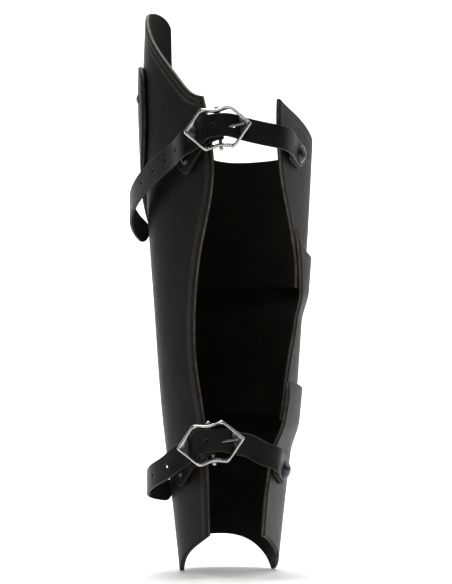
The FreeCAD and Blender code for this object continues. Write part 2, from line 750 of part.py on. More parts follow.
def washer(name, seat, out, post, thick="burr_thick", outer="burr_radius"):
    """Flat washer inside the leather, round a rivet's post; seat is on the leather's inner face."""
    disc = doc.addObject("Part::Cylinder", name + "_disc")
    disc.setExpression("Radius", "%s.%s" % (SHEET_NAME, outer))
    disc.setExpression("Height", "%s.%s" % (SHEET_NAME, thick))
    hole = doc.addObject("Part::Cylinder", name + "_hole")
    hole.setExpression("Radius", "{0}.{1} + {0}.fit_gap / 2".format(SHEET_NAME, post))
    hole.Height = size(thick) + 2
    hollow = 0.4
    disc.Placement = facing(seat - out * (size(thick) + hollow), out)
    hole.Placement = facing(seat - out * (size(thick) + hollow + 1.0), out)
    ring = doc.addObject("Part::Cut", name)
    ring.Label = name
    ring.Base = disc
    ring.Tool = hole
    return ring


def group(name, parts):
    """Identical pieces that share one node."""
    compound = doc.addObject("Part::Compound", name)
    compound.Label = name
    compound.Links = parts
    return compound


# (turn, height, outermost offset) of the rivets that join the plates to the side panel
PLATE_RIVETS = ((-86.0, 400.0, UPPER_LIFT), (-52.0, 376.0, UPPER_LIFT), (-46.0, 310.0, UPPER_LIFT),
                (-35.0, 251.0, OVER_LIFT), (-35.0, 190.0, UPPER_LIFT), (-35.0, 141.0, OVER_LIFT),
                (-35.0, 84.0, UPPER_LIFT), (-35.0, 33.0, UPPER_LIFT))


def plate_rivet_drills():
    """Drills for the plate rivets."""
    radius = size("small_post") + size("fit_gap")
    return [drill(radius, wall(turn, height, LEATHER), wall_out(turn, height), 40.0)
            for turn, height, _ in PLATE_RIVETS]


def plate_rivets():
    """Domed heads outside and washers inside, down the front edge of the side panel."""
    heads = []
    burrs = []
    for k, (turn, height, top) in enumerate(PLATE_RIVETS):
        out = wall_out(turn, height)
        foot = wall(turn, height, LEATHER) + out * (top + 0.1)
        grip = top + LEATHER + 0.1 + size("burr_thick") + 1.0
        heads.append(rivet("plate_rivet_%d" % k, foot, out, grip, "small_head", "small_high",
                           "small_post"))
        burrs.append(washer("plate_washer_%d" % k, wall(turn, height, LEATHER) - out * LEATHER, out,
                            "small_post", outer="small_head"))
    return [group("plate_rivets", heads), group("plate_rivet_washers", burrs)]


def chape_rivets(name, closure):
    """The chape's two rivets and their washers."""
    heads = []
    burrs = []
    for k, (turn, height) in enumerate(chape_rivet_spots(closure)):
        out = wall_out(turn, height)
        skin = wall(turn, height, LEATHER)
        stack = GAP + 2 * size("chape_thick") + CHAPE_FOLD_GAP + 0.15
        grip = stack + LEATHER + size("burr_thick") + 1.0
        heads.append(rivet("%s_chape_rivet_%d" % (name, k), skin + out * stack, out, grip,
                           "small_head", "small_high", "small_post"))
        burrs.append(washer("%s_chape_washer_%d" % (name, k), skin - out * LEATHER, out,
                            "small_post", outer="small_head"))
    return [group(name + "_chape_rivets", heads), group(name + "_chape_washers", burrs)]


def closure_parts(name, closure):
    """Every piece of one closure."""
    fixed, tail = strap_and_tail(closure)
    foot, out = riveted_stack(closure)
    turn, height = closure["rivet"]
    on_spacer = strap_seat()
    grip = on_spacer + STRAP / 2 - UPPER_LIFT + size("burr_thick") + 1.2
    inside = wall(turn, height, UPPER_LIFT + LEATHER) - out * LEATHER
    parts = [make_feature(name + "_strap", fixed), make_feature(name + "_strap_tail", tail),
             make_feature(name + "_strap_spacer", strap_spacer(closure)),
             make_feature(name + "_chape", chape(closure)),
             buckle_frame(name + "_buckle_frame", closure), bar(name + "_buckle_bar", closure),
             prong(name + "_buckle_prong", closure),
             rivet(name + "_strap_rivet", foot, out, grip, "dome_radius", "dome_high", "post_radius"),
             washer(name + "_strap_washer", inside, out, "post_radius")]
    return parts + chape_rivets(name, closure)


def panels():
    """The four leather panels, drilled for every rivet that passes through them."""
    plate_drills = plate_rivet_drills()
    chape_drills = []
    strap_drills = []
    for closure in CLOSURES.values():
        for turn, height in chape_rivet_spots(closure):
            chape_drills.append(drill(size("small_post") + size("fit_gap"),
                                      wall(turn, height, LEATHER), wall_out(turn, height), 30.0))
        foot, out = riveted_stack(closure)
        strap_drills.append(drill(size("post_radius") + size("fit_gap"), foot, out, 60.0))
    made = {
        "side_panel": side_panel().cut(plate_drills + chape_drills),
        "upper_plate": upper_plate().cut(plate_drills + strap_drills),
        "middle_plate": middle_plate().cut(plate_drills),
        "lower_plate": lower_plate().cut(plate_drills + strap_drills),
    }
    return [make_feature(name, largest(shape)) for name, shape in made.items()]


# ---------------------------------------------------------------- build and write

nodes = panels() + plate_rivets()
for closure_name, closure_values in CLOSURES.items():
    nodes += closure_parts(closure_name, closure_values)
doc.recompute()

for item in doc.Objects:
    if "Invalid" in item.State or "Error" in item.State:
        raise RuntimeError(item.Label + " did not recompute")
for node in nodes:
    if node.Shape.isNull() or not node.Shape.isValid():
        raise RuntimeError(node.Label + " has no valid shape")

os.makedirs("parts", exist_ok=True)
for node in nodes:
    node.Shape.exportStep(os.path.join("parts", node.Label + ".step"))
    print("%-24s solids %d  volume %.1f" % (node.Label, len(node.Shape.Solids), node.Shape.Volume))
for closure_name, closure_values in CLOSURES.items():
    pivot, axis = tail_hinge(closure_values)
    print(closure_name, "bar", closure_values["bar"], "axis", buckle_axes(closure_values)[1],
          "tail pivot", pivot, "axis", axis)
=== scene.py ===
import math

import bpy
import bmesh
import numpy as np
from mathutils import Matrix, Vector


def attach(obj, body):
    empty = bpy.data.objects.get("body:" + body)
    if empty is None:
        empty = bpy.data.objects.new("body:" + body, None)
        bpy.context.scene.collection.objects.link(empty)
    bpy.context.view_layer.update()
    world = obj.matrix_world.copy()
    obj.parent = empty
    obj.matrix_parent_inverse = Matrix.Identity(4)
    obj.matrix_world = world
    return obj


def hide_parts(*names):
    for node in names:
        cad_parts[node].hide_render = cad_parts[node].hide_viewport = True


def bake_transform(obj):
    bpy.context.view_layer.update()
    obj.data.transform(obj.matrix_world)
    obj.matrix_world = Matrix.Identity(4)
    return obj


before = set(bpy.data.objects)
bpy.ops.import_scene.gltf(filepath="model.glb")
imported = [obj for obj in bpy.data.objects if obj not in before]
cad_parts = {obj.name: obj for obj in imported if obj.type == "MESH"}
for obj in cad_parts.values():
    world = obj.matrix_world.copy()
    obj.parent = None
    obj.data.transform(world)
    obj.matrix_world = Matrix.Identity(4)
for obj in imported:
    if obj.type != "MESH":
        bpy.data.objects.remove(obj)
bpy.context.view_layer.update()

# Lengths below are in millimetres, as in the CAD, and turn into metres when a mesh is made.
MM = 0.001

# --- the leg's surface

LEVELS = (0.0, 60.0, 140.0, 228.0, 300.0, 400.0, 476.0)
WIDTHS = (35.5, 42.0, 51.2, 57.6, 62.6, 66.8, 64.5)
DEPTHS = (31.0, 36.0, 45.0, 52.0, 57.0, 62.0, 61.0)
WALL_SLANT = 0.64
WALL_ROUND = 25.0
LEATHER = 4.0
GAP = 0.3
UPPER_LIFT = LEATHER + GAP
OVER_LIFT = UPPER_LIFT + LEATHER + 0.5
SETTLE = 30.0
UPPER_END = 240.0
MIDDLE_END = 130.0


def hermite(u, low, high, low_slope, high_slope):
    """Cubic between two values, with slopes already scaled by the step between them."""
    return (low * (1 - 3 * u ** 2 + 2 * u ** 3) + high * (3 * u ** 2 - 2 * u ** 3)
            + low_slope * (u - 2 * u ** 2 + u ** 3) + high_slope * (u ** 3 - u ** 2))


def smooth_through(values, heights):
    """Cubic Hermite curve through the values at LEVELS, for an array of heights."""
    levels = np.array(LEVELS)
    values = np.array(values)
    heights = np.clip(heights, levels[0], levels[-1])
    slopes = np.empty(len(levels))
    slopes[1:-1] = (values[2:] - values[:-2]) / (levels[2:] - levels[:-2])
    slopes[0] = (values[1] - values[0]) / (levels[1] - levels[0])
    slopes[-1] = (values[-1] - values[-2]) / (levels[-1] - levels[-2])
    i = np.clip(np.searchsorted(levels, heights, side="right") - 1, 0, len(levels) - 2)
    step = levels[i + 1] - levels[i]
    u = (heights - levels[i]) / step
    return hermite(u, values[i], values[i + 1], slopes[i] * step, slopes[i + 1] * step)


def section(turn, height):
    """Points of the inner face. turn is 0 at the front, an angle up to 90, then 90 plus depth."""
    turn = np.asarray(turn, float)
    height = np.asarray(height, float)
    width = smooth_through(WIDTHS, height)
    depth = smooth_through(DEPTHS, height)
    angle = np.radians(np.clip(turn, -90.0, 90.0))
    behind = np.maximum(np.abs(turn) - 90.0, 0.0)
    inwards = WALL_SLANT * (np.hypot(behind, WALL_ROUND) - WALL_ROUND)
    x = width * np.sin(angle) - np.sign(turn) * inwards
    y = np.where(np.abs(turn) <= 90.0, depth * np.cos(angle), -behind)
    return np.stack([x, y, height + 0 * turn], axis=-1)


def unit(vectors):
    """Vectors scaled to length 1."""
    return vectors / np.linalg.norm(vectors, axis=-1, keepdims=True)


def around(turn, height):
    """Step round the shell at one height."""
    return section(turn + 0.5, height) - section(turn - 0.5, height)


def wall_normal(turn, height):
    """Horizontal outward normals of the shell."""
    along = around(turn, height)
    return unit(np.stack([-along[..., 1], along[..., 0], 0 * along[..., 0]], axis=-1))


def ruling(turn, height):
    """Direction up the shell at one turn."""
    return unit(section(turn, height + 1.0) - section(turn, height - 1.0))


def wall_out(turn, height):
    """Outward normal of the tapered shell."""
    return unit(np.cross(ruling(turn, height), around(turn, height)))


def wall(turn, height, offset):
    """Points of the shell at an offset from the side panel's inner face."""
    return section(turn, height) + wall_normal(turn, height) * np.asarray(offset)[..., None]


def spline(points, at):
    """Smooth curve through a few points, by chord length, at parameters from 0 to 1."""
    points = np.array(points, float)
    knots = np.concatenate([[0.0], np.cumsum(np.linalg.norm(np.diff(points, axis=0), axis=1))])
    knots /= knots[-1]
    count = len(knots)
    step = np.diff(knots)
    matrix = np.zeros((count, count))
    right = np.zeros_like(points)
    for i in range(1, count - 1):
        matrix[i, i - 1:i + 2] = step[i], 2 * (step[i - 1] + step[i]), step[i - 1]
        right[i] = 3 * (step[i] * (points[i] - points[i - 1]) / step[i - 1]
                        + step[i - 1] * (points[i + 1] - points[i]) / step[i])
    few = min(4, count)
    for row, part in ((0, slice(0, few)), (count - 1, slice(count - few, count))):
        matrix[row, row] = 1.0
        for axis in range(points.shape[1]):
            fit = np.polyfit(knots[part] - knots[row], points[part, axis], few - 1)
            right[row, axis] = fit[-2]
    slopes = np.linalg.solve(matrix, right)
    at = np.asarray(at, float)
    i = np.clip(np.searchsorted(knots, at, side="right") - 1, 0, count - 2)
    h = step[i][..., None]
    u = ((at - knots[i]) / step[i])[..., None]
    return hermite(u, points[i], points[i + 1], slopes[i] * h, slopes[i + 1] * h)


def evenly(points, count):
    """count + 1 points at equal lengths along the smooth curve through the points."""
    fine = spline(points, np.linspace(0.0, 1.0, 4001))
    length = np.concatenate([[0.0], np.cumsum(np.linalg.norm(np.diff(fine, axis=0), axis=1))])
    wanted = np.linspace(0.0, length[-1], count + 1)
    return np.stack([np.interp(wanted, length, fine[:, k]) for k in range(3)], axis=-1)


# --- meshes

# Distances from a panel's edge of its closest rows of vertices.
BORDER_ROWS = (0.3, 0.7, 1.2, 2.0)


def make_object(name, vertices, faces, kinds=None, values=None):
    """Smooth-shaded mesh object. kinds gives each face's material number, values its attributes."""
    mesh = bpy.data.meshes.new(name)
    mesh.from_pydata((np.array(vertices) * MM).tolist(), [], faces)
    if kinds is not None:
        mesh.polygons.foreach_set("material_index", np.array(kinds, dtype=np.int32))
    for key, numbers in (values or {}).items():
        layer = mesh.attributes.new(key, "FLOAT", "POINT")
        layer.data.foreach_set("value", np.array(numbers, dtype=np.float32))
    work = bmesh.new()
    work.from_mesh(mesh)
    bmesh.ops.recalc_face_normals(work, faces=work.faces)
    work.to_mesh(mesh)
    work.free()
    mesh.polygons.foreach_set("use_smooth", [True] * len(mesh.polygons))
    obj = bpy.data.objects.new(name, mesh)
    bpy.context.scene.collection.objects.link(obj)
    return obj


def finish_piece(obj, materials, body, slot, *nodes):
    """Give a piece its materials and its body, and hide the CAD nodes it stands for. slot is not used.
    """
    for material in materials:
        obj.data.materials.append(material)
    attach(obj, body)
    if nodes:
        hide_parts(*nodes)


def distance_to(points, line):
    """Shortest distance from each point to a polyline."""
    best = np.full(len(points), np.inf)
    for a, b in zip(line[:-1], line[1:]):
        edge = b - a
        span = max(float(edge @ edge), 1e-12)
        u = np.clip((points - a) @ edge / span, 0.0, 1.0)
        gap = np.linalg.norm(points - (a + u[:, None] * edge), axis=1)
        best = np.minimum(best, gap)
    return best


def rounding(distance, radius):
    """How far a face drops at a distance from its edge, where the edge is rounded."""
    near = np.clip(radius - np.asarray(distance), 0.0, radius)
    return radius - np.sqrt(radius ** 2 - near ** 2)


def with_border(count, length):
    """Numbers from 0 to 1, evenly spaced, with extra ones close to both ends."""
    near = [b / length for b in BORDER_ROWS]
    inner = np.linspace(near[-1], 1 - near[-1], count)
    return np.array([0.0] + near[:-1] + list(inner) + [1 - n for n in near[-2::-1]] + [1.0])


# --- the shell

EDGE_RADIUS = 1.1
# Rough size of a panel, by which its rows near the edges are placed.
PANEL_WIDE = 190.0
PANEL_TALL = 200.0
# Length on the shell, in mm, of one unit of turn.
TURN_LENGTH = 1.17


def coons(hem, rim, start, end, p, q):
    """(turn, height) inside four outlines, for grids of p along and q up the panel."""
    low = spline(hem, p)
    high = spline(rim, p)
    first = spline(start, q)
    last = spline(end, q)
    p = p[:, None, None]
    q = q[None, :, None]
    sides = first[None] * (1 - p) + last[None] * p
    ends = low[:, None] * (1 - q) + high[:, None] * q
    corners = ((low[0] * (1 - p) + low[-1] * p) * (1 - q) + (high[0] * (1 - p) + high[-1] * p) * q)
    return sides + ends - corners


def panel(name, outlines, lift, columns, rows, crease, materials):
    """Leather panel with rounded edges. It keeps each point's distance to its four edges."""
    hem, rim, start, end = outlines
    p = with_border(columns, PANEL_WIDE)
    q = with_border(rows, PANEL_TALL)
    place = coons(hem, rim, start, end, p, q)
    turn, height = place[..., 0], place[..., 1]
    base = lift(height)
    middle = wall(turn, height, base + LEATHER / 2)
    flat = middle.reshape(-1, 3)
    shape = turn.shape
    borders = {"hem": middle[:, 0], "rim": middle[:, -1], "start": middle[0], "end": middle[-1]}
    values = {key: distance_to(flat, line) for key, line in borders.items()}
    edge = np.minimum.reduce(list(values.values()))
    values["crease"] = ((turn - crease(height)) * TURN_LENGTH).reshape(-1)
    values["edge"] = edge
    drop = rounding(edge, EDGE_RADIUS).reshape(shape)
    inner = wall(turn, height, base + drop)
    outer = wall(turn, height, base + LEATHER - drop)
    vertices = np.concatenate([outer.reshape(-1, 3), inner.reshape(-1, 3)])
    wide, tall = shape
    index = np.arange(wide * tall).reshape(shape)
    under = index + wide * tall
    faces = []
    kinds = []
    for grid, kind in ((index, 0), (under, 1)):
        quads = np.stack([grid[:-1, :-1], grid[1:, :-1], grid[1:, 1:], grid[:-1, 1:]], axis=-1)
        faces += quads.reshape(-1, 4).tolist()
        kinds += [kind] * ((wide - 1) * (tall - 1))
    for line in (index[:, 0], index[:, -1], index[0], index[-1]):
        below = line + wide * tall
        faces += np.stack([line[:-1], line[1:], below[1:], below[:-1]], axis=-1).tolist()
        kinds += [2] * (len(line) - 1)
    both = {key: np.concatenate([v, v]) for key, v in values.items()}
    obj = make_object(name, vertices, faces, kinds, both)
    finish_piece(obj, materials, "shell", "shell_leather", name.replace("_leather", ""))


def lapped_lift(end_below):
    """Offset of a plate that laps over another plate's end and settles on the shell below it."""
    def lift(height):
        u = np.clip((height - (end_below - SETTLE)) / (SETTLE - 2.0), 0.0, 1.0)
        return UPPER_LIFT + (OVER_LIFT - UPPER_LIFT) * (3 * u ** 2 - 2 * u ** 3)
    return lift


def level_lift(offset):
    """The same offset at every height."""
    return lambda height: offset + 0 * height


SIDE_PANEL = (
    [(-136, 34), (-124, 27), (-112, 20), (-101, 12), (-93, 4.5), (-87, 0.4), (-80, 2.5), (-68, 9),
     (-45, 19.5), (-22, 26.5)],
    [(-164.5, 397.5), (-154, 400.5), (-140, 412.5), (-122, 430.5), (-106, 446), (-92, 460),
     (-78, 470.5), (-58, 475.5), (-44, 473), (-36, 464)],
    [(-136, 34), (-141, 75), (-145, 130), (-141, 180), (-145, 230), (-155, 272), (-167, 308),
     (-172.5, 335), (-172, 360), (-164.5, 397.5)],
    [(-22, 26.5), (-22, 150), (-24, 280), (-32, 400), (-36, 464)],
)
UPPER_PLATE = (
    [(-48, 240), (10, 240), (68, 240), (127, 240)],
    [(-96, 417), (-88, 426), (-72, 427), (-50, 412), (-25, 376), (0, 353), (30, 350), (60, 353.5),
     (90, 362), (112, 370), (130, 376.5), (150, 383), (170, 388.5), (187, 394)],
    [(-48, 240), (-56, 282), (-80, 324), (-96, 362), (-98.5, 400), (-96, 417)],
    [(127, 240), (132, 263), (141, 278), (156, 301), (170, 322), (181, 347), (187, 394)],
)
MIDDLE_PLATE = (
    [(-47, 130), (15, 130), (78, 130), (140, 130)],
    [(-47, 262), (0, 262), (60, 263), (90, 265), (108, 267.5), (128, 273), (142, 280), (148.5, 289)],
    [(-47, 130), (-47, 196), (-47, 262)],
    [(140, 130), (136.5, 158), (131, 184), (122.5, 208), (122.5, 222), (128, 243), (135, 263),
     (148.5, 289)],
)
LOWER_PLATE = (
    [(-47, 18.5), (-28, 25), (0, 28), (30, 25), (60, 13), (78, 3.2), (86, 0.4), (93, 3.5), (102, 10.5),
     (116, 20), (128, 26), (142, 32), (152, 35)],
    [(-47, 152), (0, 151), (60, 152), (95, 155), (115, 158.5), (130, 161), (144, 162)],
    [(-47, 18.5), (-47, 84), (-47, 152)],
    [(152, 35), (154.5, 65), (154, 88), (150.5, 113), (143, 140), (142, 150), (144, 162)],
)


def far_away(height):
    """No crease on this panel: a line that lies beyond its edges."""
    return -900.0 + 0 * height


def upper_crease(height):
    """Turn of the long upright crease on the upper plate."""
    return 127.0 + (height - 290.0) * 0.305


# --- the straps' routes

STRAP_WIDTH = 19.0
STRAP_THICK = 3.0
SPACER_THICK = 2.6
CHAPE_THICK = 1.7
CHAPE_FOLD_GAP = 0.3
BAR_RADIUS = 1.5
BAR_DROP = 3.0
CHAPE_PLAY = 0.16
UPRIGHT = np.array([0.0, 0.0, 1.0])

CLOSURES = {
    "upper": {
        "bar": (-23.4, -90.0, 370.0), "yaw": 24.0, "tilt": 7.0,
        "rivet": (155.0, 351.0), "edge": (183.0, 361.5), "slope": 0.36,
        "chape_edge": (-170.0, 366.0), "chape_end": (-143.0, 337.0),
        "tail": ((-55.5, -61.0, 350.5), (-63.5, -47.0, 342.5), (-71.0, -34.0, 334.0),
                 (-76.8, -20.0, 325.0), (-80.0, -6.0, 316.5), (-80.0, 8.0, 308.0),
                 (-76.5, 21.0, 300.0), (-69.5, 33.0, 292.0), (-60.0, 43.0, 285.0)),
    },
    "lower": {
        "bar": (-24.6, -63.2, 112.0), "yaw": 16.0, "tilt": 9.3,
        "rivet": (137.0, 89.0), "edge": (153.0, 99.0), "slope": 0.5,
        "chape_edge": (-142.0, 108.0), "chape_end": (-109.0, 78.0),
        "tail": ((-59.0, -47.5, 92.0), (-66.0, -37.0, 86.0), (-69.5, -24.0, 80.5),
                 (-68.5, -10.5, 76.0), (-64.5, 2.5, 72.5), (-58.0, 13.5, 70.0), (-50.0, 23.5, 68.0),
                 (-41.0, 32.0, 66.5)),
    },
}

# The strap's route through a buckle: along, up and out from the bar, in the buckle's axes.
THROUGH_BUCKLE = ((30.0, -7.0, -1.5), (19.0, -2.6, -0.1), (8.0, 1.6, 4.1), (0.0, 2.3, 5.45),
                  (-9.0, 2.0, 4.15), (-19.0, -2.8, -0.6), (-30.0, -8.0, -1.4))
PARTING = (-31.0, -8.6, -2.6)

# Lengths along the strap from the bar to its holes, towards the tip. The prong is in the first.
HOLES_FROM_BAR = (-14.0, 3.0, 28.0, 46.0, 64.0, 82.0, 100.0)


def buckle_axes(closure):
    """Along, up and out directions of a buckle."""
    yaw = math.radians(closure["yaw"])
    tilt = math.radians(closure["tilt"])
    level = np.array([math.cos(yaw), -math.sin(yaw), 0.0])
    out = np.array([-math.sin(yaw), -math.cos(yaw), 0.0])
    along = level * math.cos(tilt) + UPRIGHT * math.sin(tilt)
    up = -np.cross(along, out)
    return along, up * np.sign(up[2]), out


def buckle_point(closure, along, up, out):
    """Point in a buckle's own axes, measured from the middle of its bar."""
    a, u, o = buckle_axes(closure)
    return np.array(closure["bar"]) + a * along + u * up + o * out


def axes_matrix(x, y, z, origin):
    """Matrix with the given axes and origin."""
    matrix = np.eye(4)
    matrix[:3] = np.stack([x, y, z, origin], axis=-1)
    return matrix


def moved(vertices, matrix):
    """Points placed by a matrix."""
    return (np.c_[np.array(vertices), np.ones(len(vertices))] @ matrix.T)[:, :3]


def buckle_matrix(closure, out_shift=0.0):
    """Matrix, in mm, that lays a piece drawn in XY onto the buckle's plane."""
    a, u, o = buckle_axes(closure)
    origin = np.array(closure["bar"]) + o * out_shift
    return axes_matrix(a, u, o, origin)


ON_PLATE = UPPER_LIFT + LEATHER + GAP + STRAP_THICK / 2
ON_SPACER = ON_PLATE + SPACER_THICK + GAP


def strap_route(closure):
    """The strap from its riveted end, round the calf edge, through the buckle, to its tip."""
    turn, height = closure["rivet"]
    edge_turn, edge_height = closure["edge"]
    slope = closure["slope"]
    points = [wall(turn - 11.0, height - 11.0 * slope, ON_SPACER), wall(turn, height, ON_SPACER),
              wall(turn + 10.0, height + 10.0 * slope, ON_SPACER + 0.3)]
    corner = wall(edge_turn, edge_height, UPPER_LIFT + LEATHER)
    leaving = buckle_point(closure, *THROUGH_BUCKLE[0]) - corner
    lead = 10.0
    rise = leaving[2] * lead / np.linalg.norm(leaving)
    leaving[2] = 0.0
    leaving = unit(leaving)
    chord_out = np.array([leaving[1], -leaving[0], 0.0])
    if chord_out[1] > 0:
        chord_out = -chord_out
    side = wall_normal(edge_turn, edge_height)
    bend = STRAP_THICK / 2 + 3.4
    points.append(corner + unit(chord_out + side) * bend)
    points.append(corner + chord_out * (bend + 1.3) + leaving * lead + UPRIGHT * rise)
    points += [buckle_point(closure, *spot) for spot in THROUGH_BUCKLE]
    points += [np.array(spot) for spot in closure["tail"]]
    return evenly(points, 480)


def chape_spot(closure, u):
    """(turn, height) along the chape on the wall, 0 at its far end and 1 at the calf edge."""
    edge_turn, edge_height = closure["chape_edge"]
    end_turn, end_height = closure["chape_end"]
    fall = 1.0 - u
    height = edge_height + (end_height - edge_height) * (0.6 * fall + 0.4 * fall ** 2)
    return edge_turn + (end_turn - edge_turn) * fall, height


def chape_stations(closure):
    """The chape folded round the bar: its middle line, outward normals and width directions."""
    folded = CHAPE_THICK + CHAPE_FOLD_GAP
    loop = BAR_RADIUS + CHAPE_THICK / 2 + CHAPE_PLAY
    bar = np.array(closure["bar"])
    points = [wall(*chape_spot(closure, k / 4), LEATHER + GAP + CHAPE_THICK + CHAPE_FOLD_GAP / 2)
              for k in range(5)]
    points += [buckle_point(closure, -4.0, 0.0, 0.0), bar]
    line = evenly(points, 120)
    along, up, out = buckle_axes(closure)
    away = np.linalg.norm(line - bar, axis=1)
    near = np.clip((16.0 - away) / 14.0, 0.0, 1.0)[:, None]
    lean = ruling(*closure["chape_edge"])
    normal, across = frames(line, lean * (1 - near) + up * near)
    normal[-1], across[-1] = out, up
    parting = np.clip((14.0 - away) / 13.0, 0.0, 1.0)[:, None]
    apart = folded + (2 * loop - folded) * (3 * parting ** 2 - 2 * parting ** 3)
    angle = np.radians(np.arange(-80, 81, 10))[:, None]
    radial = along * np.cos(angle) + out * np.sin(angle)
    route = np.vstack([line - normal * apart / 2, bar + radial * loop,
                       (line + normal * apart / 2)[::-1]])
    normals = np.vstack([-normal, radial, normal[::-1]])
    widths = np.vstack([across, np.repeat(up[None], len(radial), axis=0), across[::-1]])
    return route, normals, widths


def frames(route, hints):
    """Outward normals and across directions along a strap."""
    tangent = np.empty_like(route)
    tangent[1:-1] = route[2:] - route[:-2]
    tangent[0] = route[1] - route[0]
    tangent[-1] = route[-1] - route[-2]
    tangent = unit(tangent)
    half = len(route) // 2
    run = route[half + 1] - route[half - 1]
    side = 1.0 if -run[1] * route[half][0] + run[0] * route[half][1] > 0 else -1.0
    normal = unit(np.cross(hints, tangent)) * side
    across = np.cross(tangent, normal)
    across *= np.where(across[:, 2:] < 0, -1.0, 1.0)
    return normal, across


# --- strap meshes

STRAP_EDGE = 0.9
HOLE_RADIUS = 1.5
HOLE_BLOCK = 3.0
STRAP_CORNER = 9.5
CHAPE_CORNER = 6.0
SPACER_CORNER = 3.0
SLOT_HALF = 2.1
ROW_STEP = 1.6


class StrapMesh:
    """Flat strap with rounded edges and ends, and punched holes, bent along a route."""

    def __init__(self, route, directions, width, thick, corner_start, corner_end):
        self.route = route
        self.normal, self.across = directions
        lengths = np.linalg.norm(np.diff(route, axis=0), axis=1)
        self.length_at = np.concatenate([[0.0], np.cumsum(lengths)])
        self.length = self.length_at[-1]
        self.half = width / 2
        self.thick = thick
        self.corners = (corner_start, corner_end)
        self.vertices, self.faces, self.kinds = [], [], []
        self.values = {"along": [], "across": [], "edge": []}
        self.known = {}

    def sample(self, array, s):
        """A direction or a point of the route at length s."""
        return np.array([np.interp(s, self.length_at, array[:, k]) for k in range(3)])

    def half_width(self, s):
        """Half the strap's width at length s, less at its rounded ends."""
        half = self.half
        for away, corner in ((s, self.corners[0]), (self.length - s, self.corners[1])):
            if away < corner:
                chord = math.sqrt(max(corner ** 2 - (corner - away) ** 2, 0.0))
                half = min(half, self.half - corner + chord)
        return half

    def edge_distance(self, s, w):
        """Distance from a place on the strap to its outline."""
        best = self.half - abs(w)
        for away, corner in ((s, self.corners[0]), (self.length - s, self.corners[1])):
            inside = abs(w) - (self.half - corner)
            if away < corner and inside > 0:
                best = min(best, corner - math.hypot(corner - away, inside))
            best = min(best, away if inside <= 0 else best)
        return max(best, 0.0)

    def vertex(self, key, s, w, side, drop=None):
        """Index of the vertex at (s, w) on the outer (side 1) or the inner (side -1) face."""
        if key in self.known:
            return self.known[key]
        edge = self.edge_distance(s, w)
        if drop is None:
            drop = float(rounding(edge, STRAP_EDGE))
        s_on = min(max(s, 0.0), self.length)
        point = (self.sample(self.route, s_on) + self.sample(self.across, s_on) * w
                 + unit(self.sample(self.normal, s_on)) * side * (self.thick / 2 - drop))
        self.known[key] = len(self.vertices)
        self.vertices.append(point)
        self.values["along"].append(s)
        self.values["across"].append(w)
        self.values["edge"].append(edge)
        return self.known[key]

    def lengths(self, holes, slot):
        """Rows of the mesh: evenly spaced, closer at the ends, and set round each hole."""
        rows = []
        for corner, start, sign in ((self.corners[0], 0.0, 1), (self.corners[1], self.length, -1)):
            for degrees in (7, 14, 22, 31, 41, 52, 64, 77, 90):
                rows.append(start + sign * corner * (1 - math.cos(math.radians(degrees))))
        first = self.corners[0] + 1.0
        last = self.length - self.corners[1] - 1.0
        rows += list(np.linspace(first, last, max(int((last - first) / ROW_STEP), 2)))
        for hole in holes:
            rows = [r for r in rows if abs(r - hole) > HOLE_BLOCK + 0.4]
            rows += [hole + k * HOLE_BLOCK / 2 for k in (-2, -1, 0, 1, 2)]
        if slot:
            rows = [r for r in rows if abs(r - slot[0]) > 0.4 and abs(r - slot[1]) > 0.4] + list(slot)
        return sorted(rows)

    def build(self, holes=(), slot=None):
        """Lay the faces: both sides, the outline, the holes and the slot."""
        rows = self.lengths(holes, slot)
        inner_lines = [-3.0, -1.5, 0.0, 1.5, 3.0] if not slot else [-SLOT_HALF, 0.0, SLOT_HALF]
        ratio = [1.0, 1 - 0.25 / self.half, 1 - 0.6 / self.half, 1 - 1.1 / self.half,
                 1 - 2.0 / self.half, 0.6]
        shares = [-r for r in ratio] + [w / self.half for w in inner_lines] + ratio[::-1]
        count = len(shares)
        low = 6
        hole_rows = {hole: [i for i, r in enumerate(rows) if abs(r - hole) <= HOLE_BLOCK + 1e-6]
                     for hole in holes}
        skipped = set()
        for found in hole_rows.values():
            skipped |= {(i, j) for i in found[:-1] for j in range(low, low + 4)}
        if slot:
            skipped |= {(i, j) for i in range(len(rows) - 1) for j in (low, low + 1)
                        if rows[i] >= slot[0] - 1e-6 and rows[i + 1] <= slot[1] + 1e-6}

        def grid(side, i, j):
            return self.vertex((side, i, j), rows[i], shares[j] * self.half_width(rows[i]), side)

        for side in (1, -1):
            for i in range(len(rows) - 1):
                for j in range(count - 1):
                    if (i, j) not in skipped:
                        self.faces.append((grid(side, i, j), grid(side, i + 1, j),
                                           grid(side, i + 1, j + 1), grid(side, i, j + 1)))
                        self.kinds.append(0 if side > 0 else 1)
        for j in (0, count - 1):
            for i in range(len(rows) - 1):
                self.across_edge(grid, (i, j), (i + 1, j))
        for i in (0, len(rows) - 1):
            for j in range(count - 1):
                self.across_edge(grid, (i, j), (i, j + 1))
        for hole, found in hole_rows.items():
            self.punch(hole, found, low, grid)
        if slot:
            self.slot_walls(rows, slot, low, grid)

    def wall_face(self, *corners):
        """One face of the cut edge."""
        self.faces.append(corners)
        self.kinds.append(2)

    def across_edge(self, grid, a, b):
        """Face of the cut edge between two neighbouring places in the grid."""
        self.wall_face(grid(1, *a), grid(1, *b), grid(-1, *b), grid(-1, *a))

